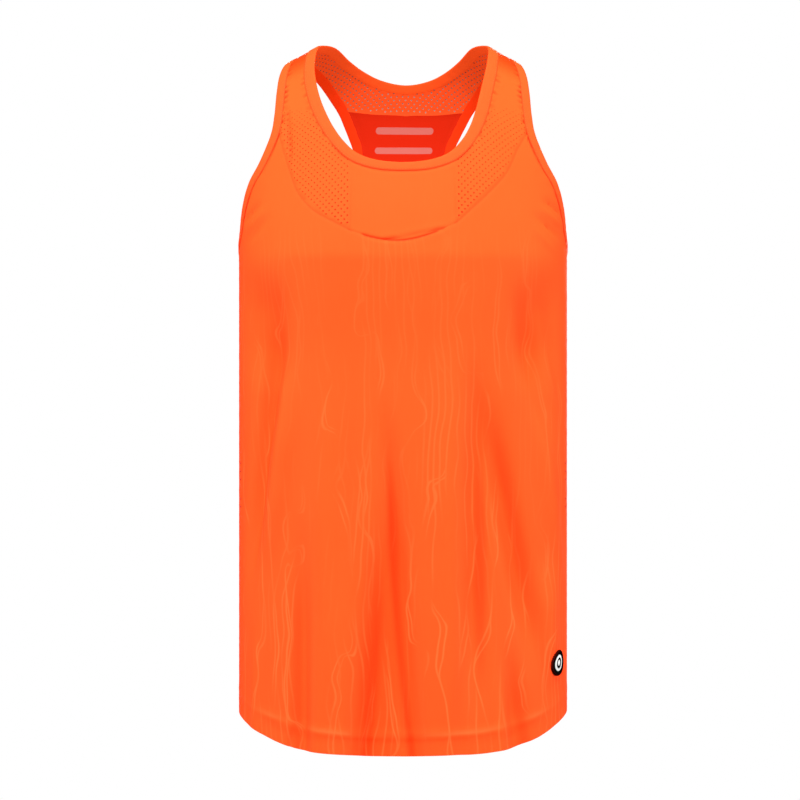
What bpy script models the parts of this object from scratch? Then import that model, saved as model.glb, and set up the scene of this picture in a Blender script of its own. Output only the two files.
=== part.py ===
"""A women's racerback tank top, hollow as when it is worn: each sewn piece is one closed solid.

Metres, +Z up, front towards -Y, the wearer's left towards +X. The origin is midway between the
tops of the two straps, on the shoulder line.

A point of the cloth has two coordinates, both lengths measured on the cloth:
  across: the way round the body from the centre line, positive on the wearer's left;
  down:   the way from the shoulder line, negative in front and positive behind.
Every piece is a grid of such points, laid on the cloth's middle surface and given a wall.
"""

import bpy
import numpy as np

# ---- driving sizes ---------------------------------------------------------------------------
HALF_WIDTH = 0.1559       # centre line to side seam, seen from the front
SQUARENESS = 2.4          # exponent of the level section: 2 is an ellipse
MEAN_DEPTH = 0.100        # centre line's mean depth, for measuring the way round
PANEL_WALL = 0.0012
BINDING_WALL = 0.0020
SEAM_GAP = 0.0003
BADGE_RADIUS = 0.0123
BADGE_WALL = 0.0016

BUST_LEVEL = -0.200       # above it the front leans back to the shoulder line
BLADE_LEVEL = -0.125      # above it the back leans forward to the shoulder line
FRONT_ROUND = (2.0, 1.25)  # how round the front arch is at the shoulder line and at the bust
BACK_ROUND = (2.0, 2.0)
FRONT_ARCH = (0.095, 0.205)  # depth and height that the front arch is measured on
BACK_ARCH = (0.085, 0.140)

SHOULDER_TOP = 0.0082     # height of the shoulder line where the neck edge crosses it
SHOULDER_TOP_AT = 0.0746
SHOULDER_FALL = 0.60
SHOULDER_BLEND = 0.040

NECK_LEAN = -0.0033       # the neckline hangs this far towards the wearer's right in front
NECK_LEAN_BEHIND = 0.0026  # and this far the other way behind
NECK_LEAN_LEVEL = (-0.040, 0.040)   # height at which it leans most, and how far that reaches
NECK_LEAN_FADE = (0.088, 0.112)     # from the neck binding out to the armhole

# Depth of the centre line, front and back: height, depth
FRONT_DEPTH = (
    (-0.700, 0.1015),
    (-0.600, 0.1005),
    (-0.480, 0.0995),
    (-0.360, 0.1008),
    (-0.280, 0.1030),
    (-0.235, 0.1070),
    (-0.200, 0.1100),
)
BACK_DEPTH = (
    (-0.700, 0.0960),
    (-0.580, 0.0935),
    (-0.460, 0.0880),
    (-0.340, 0.0845),
    (-0.240, 0.0855),
    (-0.170, 0.0885),
    (-0.125, 0.0900),
)

# Neck edge from the centre front to the shoulder line: offset, height, width of the binding
NECK_FRONT = (
    (0.0000, -0.1128, 0.0072),
    (0.0305, -0.1089, 0.0078),
    (0.0430, -0.1033, 0.0084),   # the chest panel's corner
    (0.0551, -0.0913, 0.0092),
    (0.0637, -0.0775, 0.0100),
    (0.0703, -0.0616, 0.0108),
    (0.0768, -0.0394, 0.0110),
    (0.0815, -0.0122, 0.0105),
)
NECK_SHOULDER = (0.0785, 0.0100)
# The same from the shoulder line to the centre back
NECK_BACK = (
    (0.0650, 0.0068, 0.0092),
    (0.0527, -0.0032, 0.0088),
    (0.0387, -0.0126, 0.0084),
    (0.0238, -0.0193, 0.0080),
    (0.0000, -0.0234, 0.0080),
)
CHEST_CORNER = 2          # row of NECK_FRONT

# Armhole edge from the shoulder line down the front to the side seam: offset, height, width
ARM_SHOULDER = (0.1092, 0.0100)
ARM_FRONT = (
    (0.1134, -0.0151, 0.0102),
    (0.1169, -0.0247, 0.0105),
    (0.1194, -0.0440, 0.0105),
    (0.1208, -0.0640, 0.0105),
    (0.1234, -0.0815, 0.0105),   # the yoke seam's end
    (0.1290, -0.0970, 0.0105),
    (0.1358, -0.1118, 0.0105),
    (0.1446, -0.1276, 0.0105),
    (0.1493, -0.1417, 0.0105),
    (0.1522, -0.1565, 0.0102),
    (0.1543, -0.1750, 0.0098),
)
ARM_PIT = (-0.1860, 0.0095)
# The same from the side seam up the back to the shoulder line
ARM_BACK = (
    (0.1456, -0.1810, 0.0092),
    (0.1224, -0.1716, 0.0090),
    (0.0886, -0.1549, 0.0090),
    (0.0642, -0.1347, 0.0090),
    (0.0514, -0.1148, 0.0090),
    (0.0484, -0.1001, 0.0090),
    (0.0503, -0.0855, 0.0090),
    (0.0542, -0.0759, 0.0090),
    (0.0592, -0.0650, 0.0090),
    (0.0645, -0.0540, 0.0090),   # the back yoke seam's end
    (0.0740, -0.0400, 0.0092),
    (0.0840, -0.0265, 0.0094),
    (0.0969, -0.0150, 0.0097),
)
YOKE_END = 4              # row of ARM_FRONT
BACK_YOKE_END = 9         # row of ARM_BACK

# Front yoke seam from the armhole binding to the centre front: offset, mean height, and how much
# higher it runs on the wearer's left than that, and lower on the right
YOKE_SEAM = (
    (0.1057, -0.1090, 0.0088),
    (0.0958, -0.1320, 0.0105),
    (0.0815, -0.1482, 0.0100),
    (0.0630, -0.1625, 0.0062),
)
CHEST_FOOT = (0.0490, -0.1728, 0.0036)
CHEST_SEAM = ((0.0270, -0.1812, 0.0022), (0.0000, -0.1858, 0.0))
BACK_YOKE_SEAM = ((0.0300, -0.0515), (0.0000, -0.0525))

# Bottom edge: offset, height
FRONT_HEM = (
    (0.0000, -0.6597),
    (0.0400, -0.6592),
    (0.0798, -0.6575),
    (0.1022, -0.6539),
    (0.1160, -0.6498),
    (0.1313, -0.6434),
    (0.1433, -0.6368),
    (0.1530, -0.6303),
)
BACK_HEM = (
    (0.0000, -0.6640),
    (0.0400, -0.6632),
    (0.0798, -0.6600),
    (0.1100, -0.6540),
    (0.1330, -0.6445),
    (0.1480, -0.6350),
    (0.1545, -0.6285),
)
HEM_AT_SIDE = -0.6270
HEM_TILT = 0.0008         # how much the hem's ends rise on the wearer's left, and sink on the right
HEM_TILT_FROM = 0.6       # share of the way to the side where that starts
HEM_TILT_GROW = 0.2
HEM_TILT_FADE = 0.1

# Folds: offset and height of the top, the same of the foot, half width, rise (a trough is below 0).
# A foot below the hem is one that runs off it.
FRONT_FOLDS = (
    (-0.010, -0.380, -0.026, -0.900, 0.020, -0.0090),
    (-0.016, -0.400, -0.067, -1.000, 0.0105, -0.0125),
    (-0.020, -0.310, 0.038, -0.960, 0.008, -0.0080),
    (-0.019, -0.315, 0.002, -0.560, 0.009, -0.0038),
    (-0.092, -0.430, -0.094, -0.760, 0.009, -0.0085),
    (0.066, -0.270, 0.065, -0.660, 0.010, -0.0092),
    (0.067, -0.290, 0.134, -0.620, 0.013, -0.0105),
    (0.094, -0.545, 0.122, -0.760, 0.010, -0.0085),
    (0.105, -0.215, 0.141, -0.410, 0.012, -0.0062),
    (-0.114, -0.215, -0.147, -0.540, 0.011, -0.0090),
    (0.128, -0.203, 0.122, -0.330, 0.027, -0.0055),
    (-0.131, -0.203, -0.124, -0.330, 0.027, -0.0065),
    (-0.076, -0.260, -0.076, -0.760, 0.020, 0.0060),
    (-0.081, -0.530, -0.081, -0.900, 0.008, 0.0040),
    (0.042, -0.260, 0.044, -0.760, 0.019, 0.0060),
    (0.090, -0.540, 0.092, -0.800, 0.009, 0.0040),
    (0.119, -0.270, 0.150, -0.540, 0.013, 0.0050),
    (-0.106, -0.300, -0.126, -0.500, 0.013, 0.0050),
    (0.134, -0.475, 0.136, -0.610, 0.015, 0.0055),
)
BACK_FOLDS = (
    (-0.098, -0.230, -0.124, -0.520, 0.016, -0.0070),
    (0.104, -0.250, 0.130, -0.490, 0.015, -0.0066),
    (-0.030, -0.320, -0.052, -0.760, 0.016, -0.0085),
    (0.012, -0.360, 0.020, -0.760, 0.013, -0.0060),
    (0.062, -0.370, 0.092, -0.760, 0.017, -0.0080),
    (-0.068, -0.260, -0.086, -0.760, 0.021, 0.0056),
    (0.036, -0.280, 0.052, -0.760, 0.020, 0.0054),
    (-0.012, -0.420, -0.016, -0.760, 0.012, 0.0036),
)
FOLD_FADE = 0.40          # share of a fold's length over which it starts, and over which it ends
SIDE_FADE = 0.020         # folds die out this close to the side seam

BADGE_CENTRE = (0.1430, -0.5784)    # offset and height

# Grid steps of each stretch
STRAP_STEPS = 7           # shoulder line to the yoke seam's end
YOKE_STEPS = 11           # yoke seam's end to the chest panel's foot
CHEST_STEPS = 14
CHEST_ROWS = 6
PIT_STEPS = 13            # yoke seam's end to the side seam
BODY_ROWS = 24
BACK_PIT_STEPS = 17
BACK_STRAP_STEPS = 7
BACK_COLUMNS = 32
BACK_YOKE_ROWS = 3
BACK_ROW_DIP = 0.045      # sag of the back's grid row at the underarms
BINDING_ROWS = 2
BADGE_SIDES = 24
# Rings from the badge's face round to its back: share of the radius, and of the wall
BADGE_RINGS = ((0.50, 1.0), (0.86, 1.0), (1.00, 0.7), (1.00, 0.0), (0.66, 0.0), (0.33, 0.0))
SHARP_ANGLE = 50          # degrees: edges sharper than this are shaded as edges

NORMAL_STEP = 0.0004      # half the distance over which the cloth's direction is measured

ORANGE = (1.0, 0.127, 0.021)
ORANGE_BINDING = (1.0, 0.155, 0.035)
BLACK = (0.012, 0.012, 0.013)


# ---- smooth tables and curves ----------------------------------------------------------------
def smooth(places, values, at):
    """A smooth curve through rows: cubic pieces that share their slopes where they meet."""
    places, values = np.asarray(places, float), np.asarray(values, float)
    slopes = np.gradient(values, places, axis=0)
    at = np.clip(at, places[0], places[-1])
    i = np.clip(np.searchsorted(places, at) - 1, 0, len(places) - 2)
    span = places[i + 1] - places[i]
    u = (at - places[i]) / span
    if values.ndim > 1:
        span, u = span[..., None], u[..., None]
    return ((1 + 2 * u) * (1 - u) ** 2 * values[i] + u * (1 - u) ** 2 * span * slopes[i]
            + u * u * (3 - 2 * u) * values[i + 1] - u * u * (1 - u) * span * slopes[i + 1])


def of_table(table, at):
    """The second column of a table at values of its first."""
    rows = np.asarray(table, float)
    return smooth(rows[:, 0], rows[:, 1], at)


def ease(value):
    """0 to 1 with level ends."""
    value = np.clip(value, 0, 1)
    return value * value * (3 - 2 * value)


def lengths_along(points):
    steps = np.linalg.norm(np.diff(points, axis=0), axis=1)
    return np.concatenate([[0.0], np.cumsum(steps)])


# ---- the form --------------------------------------------------------------------------------
QUARTER = np.linspace(0, np.pi / 2, 1601)
SECTION_X = np.sin(QUARTER) ** (2 / SQUARENESS)
SECTION_Y = np.cos(QUARTER) ** (2 / SQUARENESS)
SECTION_LENGTH = lengths_along(np.stack([SECTION_X * HALF_WIDTH, SECTION_Y * MEAN_DEPTH], 1))
SIDE = SECTION_LENGTH[-1]   # the way round from the centre line to the side seam


def offset_of(across):
    return HALF_WIDTH * np.sign(across) * np.interp(np.abs(across), SECTION_LENGTH, SECTION_X)


def across_of(offset):
    return np.sign(offset) * np.interp(np.abs(offset) / HALF_WIDTH, SECTION_X, SECTION_LENGTH)


def shoulder_height(offset):
    """The shoulder line, seen from the front: it falls away evenly and is rounded at the centre."""
    top = np.hypot(SHOULDER_TOP_AT, SHOULDER_BLEND)
    return SHOULDER_TOP + SHOULDER_FALL * (top - np.hypot(offset, SHOULDER_BLEND))


class Sheet:
    """The front or the back of the form: upright below a level, and an arch above it."""

    def __init__(self, facing, level, depths, rounds, arch):
        self.facing, self.level, self.depths, self.rounds = facing, level, depths, rounds
        depth, height = arch
        self.depth_share = np.sin(QUARTER) ** (2 / rounds[0])
        self.height_share = np.cos(QUARTER) ** (2 / rounds[1])
        self.length = lengths_along(
            np.stack([self.depth_share * depth, self.height_share * height], 1))

    def height(self, offset, length):
        """Height of a point that lies this far below the shoulder line, along the cloth."""
        share = np.interp(length, self.length, self.height_share)
        arch = self.level + (shoulder_height(offset) - self.level) * share
        return np.where(length <= self.length[-1], arch, self.level - (length - self.length[-1]))

    def down(self, offset, height):
        """The coordinate down of a point at this offset and height."""
        share = (height - self.level) / (shoulder_height(offset) - self.level)
        arch = np.interp(np.clip(share, 0, 1), self.height_share[::-1], self.length[::-1])
        length = np.where(share > 0, arch, self.length[-1] + self.level - height)
        return self.facing * length

    def y(self, across, offset, height):
        share = (height - self.level) / (shoulder_height(offset) - self.level)
        share = np.clip(share, 0, 1) ** self.rounds[1]
        lean = (1 - share) ** (1 / self.rounds[0])
        level_section = np.interp(np.abs(across), SECTION_LENGTH, SECTION_Y)
        depth = of_table(self.depths, np.minimum(height, self.level))
        return self.facing * depth * level_section * lean

    def chart(self, offset, height):
        """across and down of a point of this sheet."""
        offset, height = np.asarray(offset, float), np.asarray(height, float)
        return np.stack([across_of(offset), self.down(offset, height)], -1)


FRONT = Sheet(-1, BUST_LEVEL, FRONT_DEPTH, FRONT_ROUND, FRONT_ARCH)
BACK = Sheet(1, BLADE_LEVEL, BACK_DEPTH, BACK_ROUND, BACK_ARCH)


def folded(folds, across, height):
    """How far the folds raise the cloth: each is a soft ridge or trough along a straight line."""
    rise = np.zeros_like(across)
    for top, top_height, foot, foot_height, half_width, most in folds:
        share = (top_height - height) / (top_height - foot_height)
        line = across_of(top + (foot - top) * np.clip(share, 0, 1))
        grow = ease(share / FOLD_FADE) * ease((1 - share) / FOLD_FADE)
        rise += most * grow * np.exp(-((across - line) / half_width) ** 2)
    return rise * ease((SIDE - np.abs(across)) / SIDE_FADE)


def middle(across, down):
    """The cloth's middle surface and its folds' rise. Past the side seam it goes on round."""
    past = np.abs(across) > SIDE
    inside = np.where(past, np.sign(across) * (2 * SIDE - np.abs(across)), across)
    offset = offset_of(inside)
    in_front = down < 0
    height = np.where(in_front, FRONT.height(offset, -down), BACK.height(offset, down))
    seen_front = in_front ^ past
    y = np.where(seen_front, FRONT.y(inside, offset, height), BACK.y(inside, offset, height))
    rise = np.where(seen_front, folded(FRONT_FOLDS, inside, height),
                    folded(BACK_FOLDS, inside, height))
    return np.stack([offset, y, height], -1), rise


def leaned(chart):
    """The chart with the neckline's small lean: it dies out downwards, and out to the armholes."""
    across, down = chart[..., 0], chart[..., 1]
    height = middle(across, down)[0][..., 2]
    level, reach = NECK_LEAN_LEVEL
    near, far = NECK_LEAN_FADE
    share = np.exp(-((height - level) / reach) ** 2) * ease((far - np.abs(across)) / (far - near))
    moved = chart.copy()
    lean = np.where(down < 0, NECK_LEAN, NECK_LEAN_BEHIND)
    moved[..., 0] += lean * share * ease(np.abs(down) / reach)
    return moved


def cloth(chart):
    """Points of the middle surface and the outward directions there."""
    across, down = np.moveaxis(leaned(chart), -1, 0)
    point, rise = middle(across, down)
    ways = []
    for step in ((NORMAL_STEP, 0.0), (0.0, NORMAL_STEP)):
        ahead = middle(across + step[0], down + step[1])[0]
        behind = middle(across - step[0], down - step[1])[0]
        ways.append(ahead - behind)
    outward = np.cross(ways[0], ways[1])
    outward /= np.linalg.norm(outward, axis=-1, keepdims=True)
    return point + outward * rise[..., None], outward


# ---- seams -----------------------------------------------------------------------------------
def ribs(edge, width, towards):
    """Rows of four: an edge in the chart, and the seam beside it at the given width."""
    way = np.gradient(edge, axis=0)
    normal = np.stack([-way[:, 1], way[:, 0]], 1) * towards
    normal /= np.linalg.norm(normal, axis=1, keepdims=True)
    return np.concatenate([edge, edge + normal * width[:, None]], 1)


def along(rows, start, end, steps):
    """steps + 1 rows, evenly spaced on the smooth curve through rows, from one row to another."""
    halves = 0.5 * (rows[:, :2] + rows[:, -2:])
    places = lengths_along(halves)
    return smooth(places, rows, np.linspace(places[start], places[end], steps + 1))


def mirrored(rows):
    """The same rows on the wearer's right, in the opposite order."""
    signs = np.where(np.arange(rows.shape[1]) % 2 == 0, -1.0, 1.0)
    return (rows * signs)[::-1]


def neck_ribs():
    """The neck edge and its seam, all round: from the centre front by the left shoulder."""
    front, back = np.array(NECK_FRONT), np.array(NECK_BACK)
    shoulder, shoulder_width = NECK_SHOULDER
    edge = np.concatenate([
        FRONT.chart(front[:, 0], front[:, 1]),
        [[across_of(shoulder), 0.0]],
        BACK.chart(back[:, 0], back[:, 1]),
    ])
    width = np.concatenate([front[:, 2], [shoulder_width], back[:, 2]])
    edge = np.concatenate([mirrored(edge)[:-1], edge, mirrored(edge)[1:]])
    width = np.concatenate([width[::-1][:-1], width, width[::-1][1:]])
    return ribs(edge, width, -1)


def arm_ribs():
    """The left armhole's edge and seam as a front half and a back half.

    Each half has a few rows of the other at its ends, so that the curve runs on smoothly there.
    """
    front, back = np.array(ARM_FRONT), np.array(ARM_BACK)
    pit, pit_width = ARM_PIT
    shoulder, shoulder_width = ARM_SHOULDER
    crossing = [[across_of(shoulder), 0.0]]
    spill = 2
    halves = []
    for sheet, own, other in ((FRONT, front, back[::-1]), (BACK, back[::-1], front)):
        other_sheet = BACK if sheet is FRONT else FRONT
        above = other_sheet.chart(other[:spill, 0], other[:spill, 1])[::-1]
        past = sheet.chart(other[-spill:, 0], other[-spill:, 1])[::-1]
        past[:, 0] = 2 * SIDE - past[:, 0]
        edge = np.concatenate([above, crossing, sheet.chart(own[:, 0], own[:, 1]),
                               [[SIDE, float(sheet.down(HALF_WIDTH, pit))]], past])
        width = np.concatenate([other[:spill, 2][::-1], [shoulder_width], own[:, 2],
                                [pit_width], other[-spill:, 2][::-1]])
        rows, at_pit = ribs(edge, width, sheet.facing), spill + 1 + len(own)
        rows[at_pit, 2:] = SIDE, float(sheet.down(HALF_WIDTH, pit - pit_width))
        halves.append((rows, spill, spill + 1, at_pit))
    return halves


def yoke_points(table, side):
    """Chart points of a yoke seam's table on the wearer's left, 1, or right, -1."""
    offset, height, lift = np.array(table).reshape(-1, 3).T
    return FRONT.chart(side * offset, height + side * lift)


# ---- grids -----------------------------------------------------------------------------------
def shares(points):
    length = lengths_along(points)
    return length / length[-1]


def patch(bottom, top, left, right):
    """A grid inside four boundary curves: bottom and top run left to right, the sides upwards."""
    u = 0.5 * (shares(bottom) + shares(top))[None, :, None]
    w = 0.5 * (shares(left) + shares(right))[:, None, None]
    between_rows = (1 - w) * bottom[None] + w * top[None]
    between_columns = (1 - u) * left[:, None] + u * right[:, None]
    corners = ((1 - w) * ((1 - u) * bottom[0] + u * bottom[-1])
               + w * ((1 - u) * top[0] + u * top[-1]))
    return between_rows + between_columns - corners


def inset(bottom, top, left, right, margin):
    """The four curves moved inwards by a margin, with the corners mitred."""
    loop = np.concatenate([bottom[:-1], right[:-1], top[::-1][:-1], left[::-1][:-1]])
    ahead = np.roll(loop, -1, axis=0) - loop
    ahead /= np.linalg.norm(ahead, axis=1, keepdims=True)
    normal = np.stack([-ahead[:, 1], ahead[:, 0]], 1)
    before = np.roll(normal, 1, axis=0)
    mitre = (normal + before) / (1 + np.sum(normal * before, axis=1, keepdims=True))
    area = np.sum(loop[:, 0] * np.roll(loop[:, 1], -1) - loop[:, 1] * np.roll(loop[:, 0], -1))
    loop = loop + np.sign(area) * margin * mitre
    cuts = np.cumsum([0, len(bottom) - 1, len(right) - 1, len(top) - 1, len(left) - 1])
    closed = np.concatenate([loop, loop[:1]])
    sides = [closed[a:b + 1] for a, b in zip(cuts[:-1], cuts[1:])]
    return sides[0], sides[2][::-1], sides[3][::-1], sides[1]


def panel_chart(bottom, top, left, right):
    return patch(*inset(bottom, top, left, right, SEAM_GAP / 2))


def armed_chart(bottom, top, left, right, row, dip):
    """A panel whose sides turn in at a row, as a body does at the underarms.

    The row there sags by dip between its ends, so that no cell of the grid is flat.
    """
    bottom, top, left, right = inset(bottom, top, left, right, SEAM_GAP / 2)
    share = shares(bottom)[:, None]
    waist = left[row] + (right[row] - left[row]) * share
    waist[:, 1] += dip * 4 * share[:, 0] * (1 - share[:, 0])
    below = patch(bottom, waist, left[:row + 1], right[:row + 1])
    above = patch(waist, top, left[row:], right[row:])
    return np.concatenate([below[:-1], above])


# ---- solids ----------------------------------------------------------------------------------
def material(name, colour, roughness):
    made = bpy.data.materials.new(name)
    made.use_nodes = True
    shader = made.node_tree.nodes["Principled BSDF"]
    shader.inputs["Base Color"].default_value = (*colour, 1.0)
    shader.inputs["Roughness"].default_value = roughness
    shader.inputs["Metallic"].default_value = 0.0
    return made


def add_object(name, points, faces, finish):
    mesh = bpy.data.meshes.new(name)
    mesh.from_pydata(points.tolist(), [], faces)
    mesh.materials.append(finish)
    mesh.validate()
    mesh.shade_smooth()
    mesh.set_sharp_from_angle(angle=np.radians(SHARP_ANGLE))
    made = bpy.data.objects.new(name, mesh)
    bpy.context.scene.collection.objects.link(made)
    return made


def walled(name, point, outward, wall, finish, lift=0.0, ring=False):
    """A grid of points made a closed wall: two layers, and a rim round every open side."""
    rows, columns = point.shape[:2]
    outer = point + outward * (lift + wall / 2)
    inner = point + outward * (lift - wall / 2)
    points = np.concatenate([outer.reshape(-1, 3), inner.reshape(-1, 3)])
    index = np.arange(rows * columns).reshape(rows, columns)
    if ring:
        index = np.concatenate([index, index[:1]])
    under = index + rows * columns
    a, b, c, d = index[:-1, :-1], index[:-1, 1:], index[1:, 1:], index[1:, :-1]
    layers = [np.stack([a, b, c, d], -1), np.stack([d, c, b, a], -1) + rows * columns]
    rims = [(index[:, 0], under[:, 0]), (under[:, -1], index[:, -1])]
    if not ring:
        rims += [(under[0], index[0]), (index[-1], under[-1])]
    layers += [np.stack([one[:-1], one[1:], two[1:], two[:-1]], -1) for one, two in rims]
    faces = np.concatenate([layer.reshape(-1, 4) for layer in layers])
    span = point[1:, 1:] - point[:-1, :-1], point[1:, :-1] - point[:-1, 1:]
    if np.sum(np.cross(*span) * outward[:-1, :-1]) < 0:
        faces = faces[:, ::-1]
    return add_object(name, points, faces.tolist(), finish)


def add_panel(name, chart, finish):
    return walled(name, *cloth(chart), PANEL_WALL, finish)


def binding_chart(rows):
    """Across a binding, from the free edge to half a seam gap short of the seam."""
    edge, seam = rows[:, :2], rows[:, 2:]
    width = np.linalg.norm(seam - edge, axis=1)[:, None]
    share = np.linspace(0, 1, BINDING_ROWS + 1)[None, :, None]
    return edge[:, None] + (seam - edge)[:, None] * share * (1 - SEAM_GAP / 2 / width)[:, None]


def add_badge(finish):
    """A thin round button with a soft edge, on the cloth near the hem."""
    centre = FRONT.chart(*BADGE_CENTRE)
    turn = np.linspace(0, 2 * np.pi, BADGE_SIDES, endpoint=False)
    circle = np.stack([np.cos(turn), np.sin(turn)], 1) * BADGE_RADIUS
    middle_point, middle_way = cloth(centre)
    bottom = PANEL_WALL / 2 + SEAM_GAP
    layers = []
    for share, wall_share in BADGE_RINGS:
        point, way = cloth(centre + circle * share)
        layers.append(point + way * (bottom + BADGE_WALL * wall_share))
    poles = [middle_point + middle_way * (bottom + BADGE_WALL), middle_point + middle_way * bottom]
    points = np.concatenate(layers + [np.array(poles)])
    n, count = BADGE_SIDES, len(layers)
    top_pole, bottom_pole = count * n, count * n + 1
    faces = []
    for i in range(n):
        j = (i + 1) % n
        faces.append((top_pole, i, j))
        for k in range(count - 1):
            faces.append((k * n + i, (k + 1) * n + i, (k + 1) * n + j, k * n + j))
        faces.append((bottom_pole, (count - 1) * n + j, (count - 1) * n + i))
    return add_object("badge", points, faces, finish)


# ---- the garment -----------------------------------------------------------------------------
def hem_line(sheet, table, steps):
    """The bottom edge from the right side seam to the left."""
    across = np.linspace(-SIDE, SIDE, steps + 1)
    offset = np.abs(offset_of(across))
    rows = np.array(table + ((HALF_WIDTH, HEM_AT_SIDE),))
    places = across_of(rows[:, 0])
    height = smooth(places, rows[:, 1], np.abs(across))
    out = np.abs(across) / SIDE
    tilt = ease((out - HEM_TILT_FROM) / HEM_TILT_GROW) * ease((1 - out) / HEM_TILT_FADE)
    height += HEM_TILT * np.sign(across) * tilt
    return np.stack([across, sheet.down(offset, height)], -1)


def side_line(sheet, top_height, steps):
    """The left side seam from the hem up to the armhole."""
    height = np.linspace(HEM_AT_SIDE, top_height, steps + 1)
    return np.stack([np.full(steps + 1, SIDE), sheet.down(HALF_WIDTH, height)], -1)


def build():
    for old in list(bpy.data.objects):
        bpy.data.objects.remove(old)
    cloth_finish = material("orange_jersey", ORANGE, 0.62)
    mesh_finish = material("orange_perforated_jersey", ORANGE, 0.66)
    binding_finish = material("orange_binding", ORANGE_BINDING, 0.60)
    badge_finish = material("black_rubber", BLACK, 0.45)

    # Neck: stretches between the rows where other seams meet the binding.
    neck = neck_ribs()
    last = len(NECK_FRONT) + len(NECK_BACK)        # row of the centre front
    right_corner, left_corner = last - CHEST_CORNER, last + CHEST_CORNER
    left_shoulder = last + len(NECK_FRONT)
    right_shoulder = last - len(NECK_FRONT)
    strap_steps = STRAP_STEPS + YOKE_STEPS
    back_steps = BACK_COLUMNS + 2 * BACK_STRAP_STEPS
    neck_right = along(neck, right_shoulder, right_corner, strap_steps)
    neck_chest = along(neck, right_corner, left_corner, CHEST_STEPS)
    neck_left = along(neck, left_corner, left_shoulder, strap_steps)
    left_back = left_shoulder + len(NECK_BACK)
    neck_back_left = along(neck, left_shoulder, left_back, back_steps // 2)
    neck_back = np.concatenate([neck_back_left, mirrored(neck_back_left)[1:]])
    ring = np.concatenate([neck_right[:-1], neck_chest[:-1], neck_left[:-1], neck_back[:-1]])
    walled("neck_binding", *cloth(binding_chart(ring)), BINDING_WALL, binding_finish, ring=True)

    # Armholes, worked out on the left and mirrored for the right.
    (front_arm, f_top, f_own, f_pit), (back_arm, b_top, b_own, b_pit) = arm_ribs()
    f_end, b_end = f_own + YOKE_END, b_pit - 1 - BACK_YOKE_END
    arm_strap = along(front_arm, f_top, f_end, STRAP_STEPS)
    arm_front = along(front_arm, f_end, f_pit, PIT_STEPS)
    arm_back = along(back_arm, b_end, b_pit, BACK_PIT_STEPS)
    arm_back_strap = along(back_arm, b_top, b_end, BACK_STRAP_STEPS)
    front_half = binding_chart(np.concatenate([arm_strap, arm_front[1:]]))
    back_half = binding_chart(np.concatenate([arm_back_strap, arm_back[1:]])[::-1])
    for name, sign in (("armhole_binding_left", 1), ("armhole_binding_right", -1)):
        turned = np.array([sign, 1.0])
        halves = [cloth(front_half * turned), cloth(back_half * turned)]
        point, outward = (np.concatenate([one[:-1], two[:-1]]) for one, two in zip(*halves))
        walled(name, point, outward, BINDING_WALL, binding_finish, ring=True)

    # Front yoke: a mesh piece for each strap, and the chest panel between them.
    pit_height = ARM_PIT[0] - ARM_PIT[1]
    yokes, chest_sides = {}, {}
    for name, side in (("front_mesh_left", 1), ("front_mesh_right", -1)):
        turned = np.array([side, 1.0])
        neck_side = neck_left[::-1, 2:] if side > 0 else neck_right[:, 2:]
        foot = yoke_points(CHEST_FOOT, side)
        rows = np.concatenate([arm_strap[-1:, 2:] * turned, yoke_points(YOKE_SEAM, side), foot])
        yokes[side] = along(rows, 0, len(rows) - 1, YOKE_STEPS)
        arm_side = np.concatenate([arm_strap[:, 2:] * turned, yokes[side][1:]])
        top = np.linspace(neck_side[0], arm_side[0], CHEST_ROWS + 1)
        chest_sides[side] = np.linspace(neck_side[-1], foot[0], CHEST_ROWS + 1)
        chart = panel_chart(chest_sides[side], top, neck_side[::-1], arm_side[::-1])
        add_panel(name, chart, mesh_finish)
    rows = np.concatenate([
        chest_sides[-1][-1:], yoke_points(CHEST_SEAM, -1), yoke_points(CHEST_SEAM, 1)[::-1][1:],
        chest_sides[1][-1:],
    ])
    chest_foot = along(rows, 0, len(rows) - 1, CHEST_STEPS)
    chest = panel_chart(chest_foot, neck_chest[:, 2:], chest_sides[-1][::-1], chest_sides[1][::-1])
    add_panel("front_chest_panel", chest, cloth_finish)

    # Front body: its top edge is armhole, yoke, chest, yoke and armhole.
    turned = np.array([-1.0, 1.0])
    top = np.concatenate([
        arm_front[::-1, 2:] * turned, yokes[-1][1:], chest_foot[1:],
        yokes[1][::-1][1:], arm_front[1:, 2:],
    ])
    side = side_line(FRONT, pit_height, BODY_ROWS)
    hem = hem_line(FRONT, FRONT_HEM, len(top) - 1)
    add_panel("front_body", panel_chart(hem, top, side * turned, side), cloth_finish)

    # Back yoke and back body.
    arm_seam = arm_back_strap[:, 2:]
    seam = np.array(BACK_YOKE_SEAM)
    rows = np.concatenate([arm_seam[-1:], BACK.chart(seam[:, 0], seam[:, 1])])
    half = along(rows, 0, len(rows) - 1, BACK_COLUMNS // 2)
    back_seam = np.concatenate([half, mirrored(half)[1:]])[::-1]
    lower = np.concatenate([arm_seam[:-1] * turned, back_seam, arm_seam[::-1][1:]])
    upper = neck_back[::-1, 2:]
    ends = [np.linspace(one, two, BACK_YOKE_ROWS + 1)
            for one, two in ((lower[0], upper[0]), (lower[-1], upper[-1]))]
    add_panel("back_mesh_yoke", panel_chart(lower, upper, *ends), mesh_finish)

    side = np.concatenate([side_line(BACK, pit_height, BODY_ROWS), arm_back[::-1][1:, 2:]])
    hem = hem_line(BACK, BACK_HEM, BACK_COLUMNS)
    chart = armed_chart(hem, back_seam, side * turned, side, BODY_ROWS, BACK_ROW_DIP)
    add_panel("back_body", chart, cloth_finish)

    add_badge(badge_finish)


build()
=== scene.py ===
# %% [markdown]
# # A racerback tank top, filled out as when it is worn
#
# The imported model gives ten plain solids, one for each sewn piece. This lesson dresses them: every
# piece is made again as a thin shell of cloth on the same form, with its creases, holes, stitches
# and knit. Sizes are in metres, +Z is up, the front faces -Y and the wearer's left is +X.

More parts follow.
